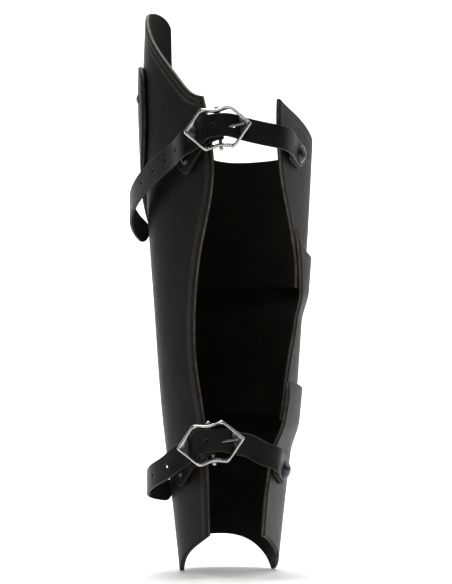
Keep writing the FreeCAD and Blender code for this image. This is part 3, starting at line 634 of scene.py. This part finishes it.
    def punch(self, hole, found, low, grid):
        """Round hole inside the block of cells left open for it."""
        first, last = found[0], found[-1]
        ring = [(first, low + k) for k in range(4)] + [(i, low + 4) for i in found[:4]]
        ring += [(last, low + k) for k in (4, 3, 2, 1)] + [(i, low) for i in found[:0:-1]]
        loops = {}
        for side in (1, -1):
            square = [grid(side, i, j) for i, j in ring]
            for radius, drop in ((HOLE_RADIUS + 0.35, 0.02), (HOLE_RADIUS, 0.35)):
                circle = []
                for n, (i, j) in enumerate(ring):
                    angle = math.atan2(self.values["across"][square[n]],
                                       self.values["along"][square[n]] - hole)
                    circle.append(self.vertex(("hole", side, hole, radius, n),
                                              hole + radius * math.cos(angle),
                                              radius * math.sin(angle), side, drop))
                for n in range(16):
                    m = (n + 1) % 16
                    self.faces.append((square[n], square[m], circle[m], circle[n]))
                    self.kinds.append(0 if side > 0 and drop < 0.1 else 1 if drop < 0.1 else 2)
                square = circle
            loops[side] = square
        for n in range(16):
            m = (n + 1) % 16
            self.wall_face(loops[1][n], loops[1][m], loops[-1][m], loops[-1][n])

    def slot_walls(self, rows, slot, low, grid):
        """Walls of the slot for the prong."""
        inside = [i for i, r in enumerate(rows) if slot[0] - 1e-6 <= r <= slot[1] + 1e-6]
        for j in (low, low + 2):
            for i in inside[:-1]:
                self.across_edge(grid, (i, j), (i + 1, j))
        for i in (inside[0], inside[-1]):
            for j in (low, low + 1):
                self.across_edge(grid, (i, j), (i, j + 1))

    def object(self, name):
        """The finished mesh object."""
        return make_object(name, self.vertices, self.faces, self.kinds, self.values)


def nearest(route, point):
    """Index of the route's point closest to a point."""
    return int(np.argmin(np.linalg.norm(route - point, axis=1)))


def strap_hints(closure, route):
    """Width direction along the strap: up the sloping wall at first, then upright."""
    lean = ruling(*closure["rivet"])
    edge_x = wall(*closure["edge"], UPPER_LIFT)[0]
    free = np.clip((edge_x - 6.0 - route[:, 0]) / 12.0, 0.0, 1.0)[:, None]
    return unit(lean * (1 - free) + UPRIGHT * free)


def strap(name, closure, materials):
    """The whole strap in one piece, laid along its route through the buckle to its free tail."""
    route = strap_route(closure)
    directions = frames(route, strap_hints(closure, route))
    mesh = StrapMesh(route, directions, STRAP_WIDTH, STRAP_THICK, STRAP_CORNER, STRAP_CORNER)
    middle = mesh.length_at[nearest(route, buckle_point(closure, 0.0, 2.3, 5.2))]
    holes = [middle + away for away in HOLES_FROM_BAR]
    holes = [h for h in holes if h < mesh.length - 9.0]
    mesh.build(holes=holes)
    obj = mesh.object(name + "_strap_leather")
    for material in materials:
        obj.data.materials.append(material)
    parting = route[nearest(route, buckle_point(closure, *PARTING))]
    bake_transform(obj)
    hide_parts(name + "_strap", name + "_strap_tail")


def spacer(name, closure, materials):
    """Leather pad under the strap's riveted end."""
    turn, height = closure["rivet"]
    offset = UPPER_LIFT + LEATHER + GAP / 2 + SPACER_THICK / 2
    away = np.linspace(-11.5, 11.5, 60)
    route = wall(turn + away, height + away * closure["slope"], offset)
    hints = np.repeat(ruling(turn, height)[None], len(route), axis=0)
    mesh = StrapMesh(route, frames(route, hints), STRAP_WIDTH - 1.0, SPACER_THICK,
                     SPACER_CORNER, SPACER_CORNER)
    mesh.build()
    obj = mesh.object(name + "_spacer_leather")
    finish_piece(obj, materials, "shell", "strap_leather", name + "_strap_spacer")


def chape(name, closure, materials):
    """Leather loop that holds the buckle's bar, slotted for the prong."""
    route, normals, widths = chape_stations(closure)
    mesh = StrapMesh(route, (normals, widths), STRAP_WIDTH, CHAPE_THICK,
                     CHAPE_CORNER, CHAPE_CORNER)
    slot_ends = [mesh.length_at[nearest(route, buckle_point(closure, -5.0, 0.0, side))]
                 for side in (-3.0, 3.0)]
    mesh.build(slot=sorted(slot_ends))
    obj = mesh.object(name + "_chape_leather")
    finish_piece(obj, materials, "shell", "strap_leather", name + "_chape")


# --- round and metal pieces

def set_polish_and_shade(mesh, values):
    """Store how polished each vertex of a cast piece is; on the buckle bar a low value stands for
    painted shade.
    """
    mesh.attributes.new("shine", "FLOAT", "POINT").data.foreach_set("value", values)


def lathe(name, profile, segments, matrix):
    """Piece of revolution: (radius, height) profile about Z, placed by a matrix in mm."""
    vertices = []
    faces = []
    rings = []
    for radius, height in profile:
        if radius < 1e-6:
            rings.append([len(vertices)])
            vertices.append((0.0, 0.0, height))
            continue
        rings.append(list(range(len(vertices), len(vertices) + segments)))
        for k in range(segments):
            angle = 2 * math.pi * k / segments
            vertices.append((radius * math.cos(angle), radius * math.sin(angle), height))
    for low, high in zip(rings[:-1], rings[1:]):
        for k in range(segments):
            m = (k + 1) % segments
            if len(low) == 1 and len(high) > 1:
                faces.append((low[0], high[m], high[k]))
            elif len(high) == 1 and len(low) > 1:
                faces.append((low[k], low[m], high[0]))
            elif len(low) > 1:
                faces.append((low[k], low[m], high[m], high[k]))
    return make_object(name, moved(vertices, matrix), faces)


def facing(point, direction):
    """Matrix, in mm, with its origin at a point and Z along a direction."""
    z = unit(np.array(direction, float))
    aside = UPRIGHT if abs(z[2]) < 0.9 else np.array([1.0, 0.0, 0.0])
    x = unit(np.cross(aside, z))
    return axes_matrix(x, np.cross(z, x), z, point)


def joined(name, pieces):
    """Several meshes in one object."""
    bpy.ops.object.select_all(action="DESELECT")
    for piece in pieces:
        piece.select_set(True)
    bpy.context.view_layer.objects.active = pieces[0]
    bpy.ops.object.join()
    pieces[0].name = name
    return pieces[0]


def dome_profile(radius, high, lip, grip, post):
    """Domed rivet: post, flat underside, a thin rolled lip and the dome."""
    sphere = (radius ** 2 + high ** 2) / (2 * high)
    start = math.asin(min((radius - 0.15) / sphere, 1.0))
    cap = []
    for k in range(13):
        angle = start * (1 - k / 12)
        cap.append((sphere * math.sin(angle), high - sphere * (1 - math.cos(angle))))
    cap[-1] = (0.0, high)
    return [(0.0, -grip), (post, -grip), (post, 0.0), (radius - 0.5, 0.0), (radius, lip * 0.4),
            (radius, lip * 0.8)] + [(r, max(h, lip)) for r, h in cap]


def strap_rivet(name, closure, metal):
    """The large domed rivet."""
    turn, height = closure["rivet"]
    out = wall_out(turn, height)
    skin = wall(turn, height, UPPER_LIFT + LEATHER)
    foot = skin + out * (ON_SPACER + STRAP_THICK / 2 + 0.15 - UPPER_LIFT - LEATHER)
    grip = ON_SPACER + STRAP_THICK / 2 - UPPER_LIFT + 2.4
    obj = lathe(name + "_dome_rivet", dome_profile(7.6, 4.2, 0.5, grip, 1.9), 64, facing(foot, out))
    finish_piece(obj, [metal], "shell", "rivet_metal", name + "_strap_rivet")


def small_rivet(name, turn, height, top):
    """One small domed rivet; top is its foot's distance outside the side panel's outer face."""
    out = wall_out(turn, height)
    foot = wall(turn, height, LEATHER) + out * top
    grip = top + LEATHER + 2.2
    return lathe(name, dome_profile(4.2, 1.5, 0.3, grip, 1.4), 36, facing(foot, out))


def chape_rivets(name, closure, metal):
    """The chape's two rivets."""
    top = GAP + 2 * CHAPE_THICK + CHAPE_FOLD_GAP + 0.15
    heads = []
    for k, share in enumerate((0.22, 0.58)):
        turn, height = chape_spot(closure, share)
        heads.append(small_rivet("%s_chape_head_%d" % (name, k), turn, height, top))
    obj = joined(name + "_chape_rivet_heads", heads)
    finish_piece(obj, [metal], "shell", "rivet_metal", name + "_chape_rivets")


PLATE_RIVETS = ((-86.0, 400.0, UPPER_LIFT), (-52.0, 376.0, UPPER_LIFT), (-46.0, 310.0, UPPER_LIFT),
                (-35.0, 251.0, OVER_LIFT), (-35.0, 190.0, UPPER_LIFT), (-35.0, 141.0, OVER_LIFT),
                (-35.0, 84.0, UPPER_LIFT), (-35.0, 33.0, UPPER_LIFT))


def plate_rivets(metal):
    """The rivets down the front, through the plates and the side panel."""
    heads = [small_rivet("plate_head_%d" % k, turn, height, top + 0.1)
             for k, (turn, height, top) in enumerate(PLATE_RIVETS)]
    obj = joined("plate_rivet_heads", heads)
    finish_piece(obj, [metal], "shell", "rivet_metal", "plate_rivets")


def closed_outline(corners, count, soften):
    """Evenly spaced points round a closed polygon whose corners are rounded off."""
    corners = np.array(corners, float)
    total = []
    for a, b in zip(corners, np.roll(corners, -1, axis=0)):
        steps = max(int(np.linalg.norm(b - a) / 0.25), 2)
        total += [a + (b - a) * k / steps for k in range(steps)]
    ring = np.array(total + total[:1])
    length = np.concatenate([[0.0], np.cumsum(np.linalg.norm(np.diff(ring, axis=0), axis=1))])
    wanted = np.linspace(0.0, length[-1], count, endpoint=False)
    points = np.stack([np.interp(wanted, length, ring[:, k]) for k in range(2)], axis=-1)
    for _ in range(soften):
        points = (np.roll(points, 1, axis=0) + 2 * points + np.roll(points, -1, axis=0)) / 4
    return points


def mirrored(upper):
    """Closed outline from its upper half."""
    return upper + [(x, -y) for x, y in reversed(upper) if abs(y) > 1e-6]


FRAME_THICK = 3.2
WAIST = 15.3
BALL_RADIUS = 1.9
# Section of the frame's cast bar, from its back edge round to its inner foot: mm inwards, share of
# the raised rim, share of the flange inside it, and height above the frame's back face.
FRAME_PROFILE = ((0.15, 0, 0, 0.1), (0.0, 0, 0, 0.9), (0.05, 0, 0, 1.9), (0.0, 0.22, 0, 2.75),
                 (0.0, 0.5, 0, FRAME_THICK), (0.0, 0.78, 0, 2.85), (0.0, 1, 0, 2.2),
                 (0.0, 1, 0.35, 1.75), (0.0, 1, 0.8, 1.25), (-0.05, 1, 1, 0.95), (0.0, 1, 1, 0.6),
                 (-0.1, 1, 1, 0.05))


def frame_ring(name, matrix):
    """Cast two-loop frame: a rolled rim outside, and inner flanges that slope into the window."""
    count = 240
    outer = closed_outline(mirrored([(29.25, 0.0), (12.0, 18.25), (6.5, 16.6), (0.0, WAIST),
                                     (-6.5, 16.6), (-12.0, 18.25), (-29.25, 0.0)]), count, 14)
    inner = closed_outline(mirrored([(18.5, 7.25), (12.0, 14.3), (0.0, 12.2), (-12.0, 14.3),
                                     (-18.5, 7.25)]), count, 14)
    wanted = np.arctan2(outer[:, 1] / 18.0, outer[:, 0] / 29.0)
    inner_angle = np.arctan2(inner[:, 1] / 14.0, inner[:, 0] / 18.5)
    order = np.argsort(inner_angle)
    inner = np.stack([np.interp(wanted, inner_angle[order], inner[order, k], period=2 * math.pi)
                      for k in range(2)], axis=-1)
    span = np.linalg.norm(outer - inner, axis=1)
    rim = np.minimum(3.5, span * 0.84)
    toward = (inner - outer) / span[:, None]
    vertices = []
    shine = []
    for k, (extra, of_rim, of_flange, height) in enumerate(FRAME_PROFILE):
        flat = outer + toward * (extra + rim * of_rim + (span - rim) * of_flange)[:, None]
        vertices += [(x, y, height) for x, y in flat]
        shine += [1.0 if k <= 5 else 0.5 if k == 6 else 0.0] * count
    faces = []
    for k in range(len(FRAME_PROFILE)):
        m = (k + 1) % len(FRAME_PROFILE)
        for n in range(count):
            w = (n + 1) % count
            faces.append((k * count + n, k * count + w, m * count + w, m * count + n))
    return make_object(name, moved(vertices, matrix), faces, values={"shine": shine})


def box_piece(name, low, high, matrix, bevel):
    """Block with rounded edges, between two corners."""
    size = np.array(high) - np.array(low)
    middle = (np.array(high) + np.array(low)) / 2
    mesh = bpy.data.meshes.new(name)
    work = bmesh.new()
    bmesh.ops.create_cube(work, size=1.0)
    for vertex in work.verts:
        vertex.co = Vector(np.array(vertex.co) * size + middle)
    bmesh.ops.bevel(work, geom=work.edges[:], offset=bevel, segments=3, profile=0.5, affect="EDGES")
    for vertex in work.verts:
        vertex.co = Vector((matrix @ np.array([*vertex.co, 1.0]))[:3] * MM)
    work.to_mesh(mesh)
    work.free()
    set_polish_and_shade(mesh, [0.6] * len(mesh.vertices))
    mesh.polygons.foreach_set("use_smooth", [True] * len(mesh.polygons))
    obj = bpy.data.objects.new(name, mesh)
    bpy.context.scene.collection.objects.link(obj)
    return obj


def buckle(name, closure, metal):
    """Frame with a lug behind each waist, and the bar with a ball at each end."""
    at_frame = buckle_matrix(closure, BAR_DROP)
    pieces = [frame_ring(name + "_ring", at_frame)]
    for side in (1, -1):
        low, high = sorted((side * 12.4, side * 15.1))
        pieces.append(box_piece("%s_lug_%d" % (name, side), (-2.8, low, -BAR_DROP - 2.6),
                                (2.8, high, 0.9), at_frame, 0.5))
    obj = joined(name + "_buckle_cast", pieces)
    finish_piece(obj, [metal], name + "_buckle", "buckle_metal", name + "_buckle_frame")
    matrix = buckle_matrix(closure)
    axes = facing(matrix[:3, 3], matrix[:3, 1])
    ball = BALL_RADIUS
    centre = WAIST + 0.25 + math.sqrt(ball ** 2 - BAR_RADIUS ** 2)
    half = [(BAR_RADIUS, 0.0), (BAR_RADIUS, WAIST - 2.0), (BAR_RADIUS, WAIST + 0.25)]
    for degrees in range(-40, 91, 10):
        angle = math.radians(degrees)
        half.append((ball * math.cos(angle), centre + ball * math.sin(angle)))
    half[-1] = (0.0, centre + ball)
    profile = [(r, -z) for r, z in reversed(half[1:])] + half
    rod = lathe(name + "_bar_and_balls", profile, 40, axes)
    middle = Vector(matrix[:3, 3] * MM)
    # Painted shade: the middle of the bar gets a low value, so it is coloured dark; the balls at its
    # ends get a high one.
    set_polish_and_shade(rod.data, [0.9 if (v.co - middle).length > (WAIST - 1.0) * MM else 0.3
                         for v in rod.data.vertices])
    finish_piece(rod, [metal], name + "_buckle", "buckle_metal", name + "_buckle_bar")


PRONG_LIFT = 22.6
PRONG_LONG = 25.5


def prong(name, closure, metal):
    """Prong: an eye round the bar and a straight tapered shank, set at an angle, with a rounded tip.
    """
    matrix = buckle_matrix(closure)
    lift = math.radians(PRONG_LIFT)
    bar_axes = facing(matrix[:3, 3], matrix[:3, 1])
    eye = []
    for degrees in range(0, 360, 20):
        angle = math.radians(degrees)
        eye.append((2.21 + 0.62 * math.cos(angle), 1.35 * math.sin(angle)))
    pieces = [lathe(name + "_eye", eye + eye[:1], 36, bar_axes)]
    direction = matrix[:3, 0] * math.cos(lift) + matrix[:3, 2] * math.sin(lift)
    start = matrix[:3, 3] + direction * 1.96
    length = PRONG_LONG - 2.0
    profile = [(0.0, 0.0), (1.2, 0.05)]
    for share in (0.1, 0.3, 0.5, 0.7, 0.85):
        profile.append((1.3 - 0.42 * share, length * share))
    for degrees in range(0, 91, 15):
        angle = math.radians(degrees)
        profile.append((0.9 * math.cos(angle), length - 1.2 + 1.2 * math.sin(angle)))
    profile[-1] = (0.0, length)
    pieces.append(lathe(name + "_shank", profile, 28, facing(start, direction)))
    obj = joined(name + "_prong_steel", pieces)
    finish_piece(obj, [metal], name + "_prong", "prong_steel", name + "_buckle_prong")


# --- materials

def feed(tree, socket, value):
    """Link a value to a socket, or set it there when it is a constant."""
    if isinstance(value, bpy.types.NodeSocket):
        tree.links.new(value, socket)
    else:
        socket.default_value = value


def node(tree, kind, inputs=None, **settings):
    """Add a shader node; inputs are constants or sockets to link."""
    made = tree.nodes.new(kind)
    for key, value in settings.items():
        setattr(made, key, value)
    for key, value in (inputs or {}).items():
        feed(tree, made.inputs[key], value)
    return made


def maths(tree, operation, *values):
    """Math node's output."""
    return node(tree, "ShaderNodeMath", dict(enumerate(values)), operation=operation).outputs[0]


def ramp(tree, value, low, high, to_low=0.0, to_high=1.0):
    """Smooth step from low to high, clamped."""
    made = node(tree, "ShaderNodeMapRange",
                {"Value": value, "From Min": low, "From Max": high, "To Min": to_low,
                 "To Max": to_high}, interpolation_type="SMOOTHSTEP")
    return made.outputs["Result"]


def mix_colour(tree, share, first, second):
    """Colour between two, by a share."""
    sockets = {0: share, 6: first, 7: second}
    return node(tree, "ShaderNodeMix", sockets, data_type="RGBA").outputs[2]


def noise(tree, scale, detail=3.0, rough=0.55, stretch=None):
    """Noise in object space, in cycles per metre."""
    place = node(tree, "ShaderNodeTexCoord").outputs["Object"]
    if stretch:
        place = node(tree, "ShaderNodeMapping", {"Vector": place, "Scale": stretch}).outputs[0]
    return node(tree, "ShaderNodeTexNoise", {"Vector": place, "Scale": scale, "Detail": detail,
                                            "Roughness": rough}).outputs["Fac"]


def grain(tree, scale):
    """Fine pebbled grain: distance to the cell borders of a Voronoi pattern."""
    place = node(tree, "ShaderNodeTexCoord").outputs["Object"]
    cells = node(tree, "ShaderNodeTexVoronoi", {"Vector": place, "Scale": scale},
                 feature="DISTANCE_TO_EDGE")
    return ramp(tree, cells.outputs["Distance"], 0.0, 0.28)


def attribute(tree, name):
    """A float stored on the mesh."""
    return node(tree, "ShaderNodeAttribute", attribute_name=name).outputs["Fac"]


def groove(tree, distance, offset, half):
    """1 on a line at an offset, in mm, and 0 away from it."""
    away = maths(tree, "ABSOLUTE", maths(tree, "SUBTRACT", distance, offset))
    return ramp(tree, away, half * 0.25, half, 1.0, 0.0)


def largest_of(tree, values):
    """Highest of several values."""
    best = values[0]
    for value in values[1:]:
        best = maths(tree, "MAXIMUM", best, value)
    return best


def shader(name):
    """New material's tree and its principled shader."""
    material = bpy.data.materials.new(name)
    material.use_nodes = True
    tree = material.node_tree
    tree.nodes.clear()
    surface = tree.nodes.new("ShaderNodeBsdfPrincipled")
    out = tree.nodes.new("ShaderNodeOutputMaterial")
    tree.links.new(surface.outputs[0], out.inputs["Surface"])
    return material, tree, surface


def set_inputs(tree, surface, **values):
    """Link or set a shader's inputs; underscores stand for spaces."""
    for key, value in values.items():
        feed(tree, surface.inputs[key.replace("_", " ")], value)


def bump(tree, height, distance, strength=1.0, normal=None):
    """Bump node's normal; distance in metres."""
    inputs = {"Height": height, "Distance": distance, "Strength": strength}
    if normal is not None:
        inputs["Normal"] = normal
    return node(tree, "ShaderNodeBump", inputs).outputs[0]


GRAIN_DARK = (0.0022, 0.0021, 0.0022, 1.0)
GRAIN_LIGHT = (0.0055, 0.0052, 0.0052, 1.0)
WORN = (0.030, 0.022, 0.017, 1.0)
# Lighter colour painted in bands beside the tooled grooves: a painted highlight.
GROOVE_HIGHLIGHT = (0.075, 0.072, 0.070, 1.0)
EDGE_DARK = (0.010, 0.0095, 0.009, 1.0)
EDGE_LIGHT = (0.060, 0.056, 0.052, 1.0)
# Flesh side colours: partly the hide's own dark tone, made near-black as painted shade for the inside
# of the shell.
FLESH_DARK = (0.0010, 0.0009, 0.0008, 1.0)
FLESH_LIGHT = (0.006, 0.005, 0.0045, 1.0)


def grain_leather(name, lines, rough=0.42, worn_width=1.1, specular=0.07):
    """Smooth dyed leather. lines gives the tooled grooves: attribute name and offsets in mm. Each
    groove is painted darker inside as painted shade, with a lighter band beside it as painted
    highlight.
    """
    material, tree, surface = shader(name)
    cloud = noise(tree, 38.0, 4.0)
    streak = noise(tree, 260.0, 4.0, 0.6)
    colour = mix_colour(tree, ramp(tree, cloud, 0.35, 0.7), GRAIN_DARK, GRAIN_LIGHT)
    edge = attribute(tree, "edge")
    wobble = maths(tree, "MULTIPLY_ADD", noise(tree, 300.0, 3.0), 1.4, -0.7)
    worn = ramp(tree, maths(tree, "ADD", edge, wobble), 0.1, worn_width, 1.0, 0.0)
    colour = mix_colour(tree, maths(tree, "MULTIPLY", worn, 0.75), colour, WORN)
    cuts = []
    highlight_bands = []
    for key, offsets in lines.items():
        distance = attribute(tree, key)
        cuts += [groove(tree, distance, offset, 0.5) for offset in offsets]
        highlight_bands += [groove(tree, distance, offset, 1.3) for offset in offsets]
    pits = grain(tree, 1100.0)
    height = maths(tree, "MULTIPLY", pits, 0.10)
    height = maths(tree, "MULTIPLY_ADD", streak, 0.10, height)
    if cuts:
        # Painted shade and painted highlight: the grooves are painted darker and the bands beside them
        # lighter.
        cut = largest_of(tree, cuts)
        groove_highlight = maths(tree, "SUBTRACT", largest_of(tree, highlight_bands), cut)
        colour = mix_colour(tree, maths(tree, "MULTIPLY", groove_highlight, 0.5), colour, GROOVE_HIGHLIGHT)
        colour = mix_colour(tree, maths(tree, "MULTIPLY", cut, 0.85), colour, GRAIN_DARK)
        height = maths(tree, "SUBTRACT", height, maths(tree, "MULTIPLY", cut, 2.6))
    waves = bump(tree, noise(tree, 22.0, 2.0), 0.004, 0.25)
    fine = bump(tree, height, 0.00035, 0.8, waves)
    roughness = ramp(tree, streak, 0.3, 0.75, rough - 0.03, rough + 0.05)
    set_inputs(tree, surface, Base_Color=colour, Roughness=roughness, Normal=fine,
               Specular_IOR_Level=specular)
    return material


def cut_edge(name):
    """Cut and burnished edge: lighter, with the layers of the hide showing."""
    material, tree, surface = shader(name)
    fibre = noise(tree, 520.0, 5.0, 0.7)
    patch = noise(tree, 120.0, 3.0)
    colour = mix_colour(tree, ramp(tree, maths(tree, "MULTIPLY", fibre, patch), 0.16, 0.36),
                        EDGE_DARK, EDGE_LIGHT)
    set_inputs(tree, surface, Base_Color=colour, Roughness=0.62,
               Normal=bump(tree, fibre, 0.0005, 0.8))
    return material


def flesh_side(name):
    """Rough, fibrous inner face of the hide, coloured near-black: partly the hide's own dark tone,
    darkened further as painted shade for the inside of the shell.
    """
    material, tree, surface = shader(name)
    fuzz = noise(tree, 700.0, 6.0, 0.75)
    patch = noise(tree, 45.0, 4.0)
    share = maths(tree, "MULTIPLY", fuzz, patch)
    colour = mix_colour(tree, ramp(tree, share, 0.14, 0.42), FLESH_DARK, FLESH_LIGHT)
    set_inputs(tree, surface, Base_Color=colour, Roughness=0.9,
               Normal=bump(tree, fuzz, 0.0006, 1.0), Specular_IOR_Level=0.2)
    return material


def cast_metal(name, bright, dark, rough, use_polish_and_shade):
    """Cast metal: polished where it stands proud, dark in its hollows, lightly scratched; a stored
    per-vertex value can also paint it dark as painted shade.
    """
    material, tree, surface = shader(name)
    wear = noise(tree, 160.0, 5.0, 0.65)
    scratch = noise(tree, 900.0, 3.0, 0.6, (1.0, 6.0, 1.0))
    share = ramp(tree, wear, 0.30, 0.72)
    if use_polish_and_shade:
        stored_polish_and_shade = attribute(tree, "shine")
        share = maths(tree, "ADD", maths(tree, "MULTIPLY", stored_polish_and_shade, 0.8),
                      maths(tree, "MULTIPLY_ADD", share, 0.5, -0.2))
        share = ramp(tree, share, 0.0, 0.9)
    colour = mix_colour(tree, share, dark, bright)
    roughness = ramp(tree, share, 0.0, 1.0, rough + 0.16, rough)
    height = maths(tree, "MULTIPLY_ADD", scratch, 0.25, wear)
    set_inputs(tree, surface, Base_Color=colour, Metallic=1.0, Roughness=roughness,
               Normal=bump(tree, height, 0.00035, 0.55))
    return material


# --- assembly

EDGE = cut_edge("cut_edge")
FLESH = flesh_side("flesh_side")
STRAP_SKIN = grain_leather("strap_leather_grain", {}, 0.40, 0.7, 0.17)
STRAP_LAYERS = [STRAP_SKIN, FLESH, EDGE]
CHAPE_SKIN = grain_leather("chape_leather_grain", {}, 0.50, 0.7, 0.12)
BUCKLE = cast_metal("antique_silver", (0.50, 0.49, 0.485, 1.0), (0.050, 0.050, 0.054, 1.0), 0.24, True)
RIVET = cast_metal("black_nickel", (0.070, 0.078, 0.098, 1.0), (0.022, 0.024, 0.030, 1.0), 0.24, False)
STEEL = cast_metal("dark_steel", (0.30, 0.31, 0.33, 1.0), (0.10, 0.10, 0.11, 1.0), 0.26, False)
WASHER = cast_metal("dull_washer", (0.22, 0.22, 0.23, 1.0), (0.07, 0.07, 0.07, 1.0), 0.38, False)

PANELS = (
    ("side_panel_leather", SIDE_PANEL, level_lift(0.0), 150, 150, far_away,
     {"rim": (3.4, 8.2), "start": (4.2, 6.8)}),
    ("upper_plate_leather", UPPER_PLATE, level_lift(UPPER_LIFT), 170, 90, upper_crease,
     {"rim": (2.6, 6.8), "crease": (0.0,)}),
    ("middle_plate_leather", MIDDLE_PLATE, lapped_lift(UPPER_END), 150, 100, far_away,
     {"rim": (6.8,)}),
    ("lower_plate_leather", LOWER_PLATE, lapped_lift(MIDDLE_END), 150, 100, far_away,
     {"rim": (6.8,), "end": (5.0,), "hem": (6.0,)}),
)
for label, outlines, lift, columns, rows, crease, lines in PANELS:
    skin = grain_leather(label + "_grain", lines)
    panel(label, outlines, lift, columns, rows, crease, [skin, FLESH, EDGE])

for label, closure in CLOSURES.items():
    strap(label, closure, STRAP_LAYERS)
    spacer(label, closure, [CHAPE_SKIN, FLESH, EDGE])
    chape(label, closure, [CHAPE_SKIN, FLESH, EDGE])
    buckle(label, closure, BUCKLE)
    prong(label, closure, STEEL)
    strap_rivet(label, closure, RIVET)
    chape_rivets(label, closure, RIVET)
plate_rivets(RIVET)

for label, cad_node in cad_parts.items():
    if not cad_node.hide_render:
        cad_node.data.materials.clear()
        cad_node.data.materials.append(WASHER)


# --- floor, light and camera

def backdrop():
    """Pale floor that curves up into a wall far behind the object."""
    material, tree, surface = shader("backdrop_paper")
    set_inputs(tree, surface, Base_Color=(0.93, 0.93, 0.93, 1.0), Roughness=0.9)
    profile = [(-4.0, 0.0), (2.2, 0.0)]
    for degrees in range(10, 91, 10):
        angle = math.radians(degrees)
        profile.append((2.2 + 1.2 * math.sin(angle), 1.2 * (1 - math.cos(angle))))
    profile.append((3.4, 5.0))
    vertices = [(x, y, z) for y, z in profile for x in (-5.0, 5.0)]
    faces = [(2 * k, 2 * k + 1, 2 * k + 3, 2 * k + 2) for k in range(len(profile) - 1)]
    mesh = bpy.data.meshes.new("backdrop")
    mesh.from_pydata(vertices, [], faces)
    mesh.polygons.foreach_set("use_smooth", [True] * len(faces))
    mesh.materials.append(material)
    obj = bpy.data.objects.new("backdrop", mesh)
    bpy.context.scene.collection.objects.link(obj)


def softbox(name, place, target, size, power):
    """Square soft light that faces a point."""
    data = bpy.data.lights.new(name, "AREA")
    data.shape = "SQUARE"
    data.size = size
    data.energy = power
    obj = bpy.data.objects.new(name, data)
    obj.location = place
    obj.rotation_euler = (Vector(target) - Vector(place)).to_track_quat("-Z", "Y").to_euler()
    bpy.context.scene.collection.objects.link(obj)


def studio():
    """Soft light from the right and behind, a smaller one on the left, and one for the metal."""
    scene = bpy.context.scene
    scene.view_settings.view_transform = "Standard"
    world = bpy.data.worlds.new("studio")
    world.use_nodes = True
    background = world.node_tree.nodes["Background"]
    background.inputs["Color"].default_value = (1.0, 1.0, 1.0, 1.0)
    background.inputs["Strength"].default_value = 0.10
    scene.world = world
    middle = (0.0, 0.0, 0.24)
    softbox("key", (1.3, 0.2, 0.9), middle, 1.0, 9.0)
    softbox("front", (-0.6, -1.7, 1.6), middle, 0.5, 6.0)
    softbox("rim", (-1.5, 0.6, 0.6), middle, 0.6, 2.0)
    softbox("paper", (0.0, 1.0, 3.0), (0.0, 2.4, 0.4), 2.5, 200.0)


CAMERA_TURN = math.radians(-11.0)
CAMERA_AWAY = 2.2
CAMERA_HEIGHT = 0.2367
VIEW_TALL = 0.4964


def camera():
    """Level camera, a little to the left of the calf opening."""
    data = bpy.data.cameras.new("camera")
    data.sensor_fit = "VERTICAL"
    data.sensor_height = 36.0
    data.lens = 36.0 * CAMERA_AWAY / VIEW_TALL
    obj = bpy.data.objects.new("camera", data)
    obj.location = (math.sin(CAMERA_TURN) * CAMERA_AWAY, -math.cos(CAMERA_TURN) * CAMERA_AWAY,
                    CAMERA_HEIGHT)
    obj.rotation_euler = (math.radians(90.0), 0.0, CAMERA_TURN)
    bpy.context.scene.collection.objects.link(obj)
    bpy.context.scene.camera = obj


backdrop()
studio()
camera()
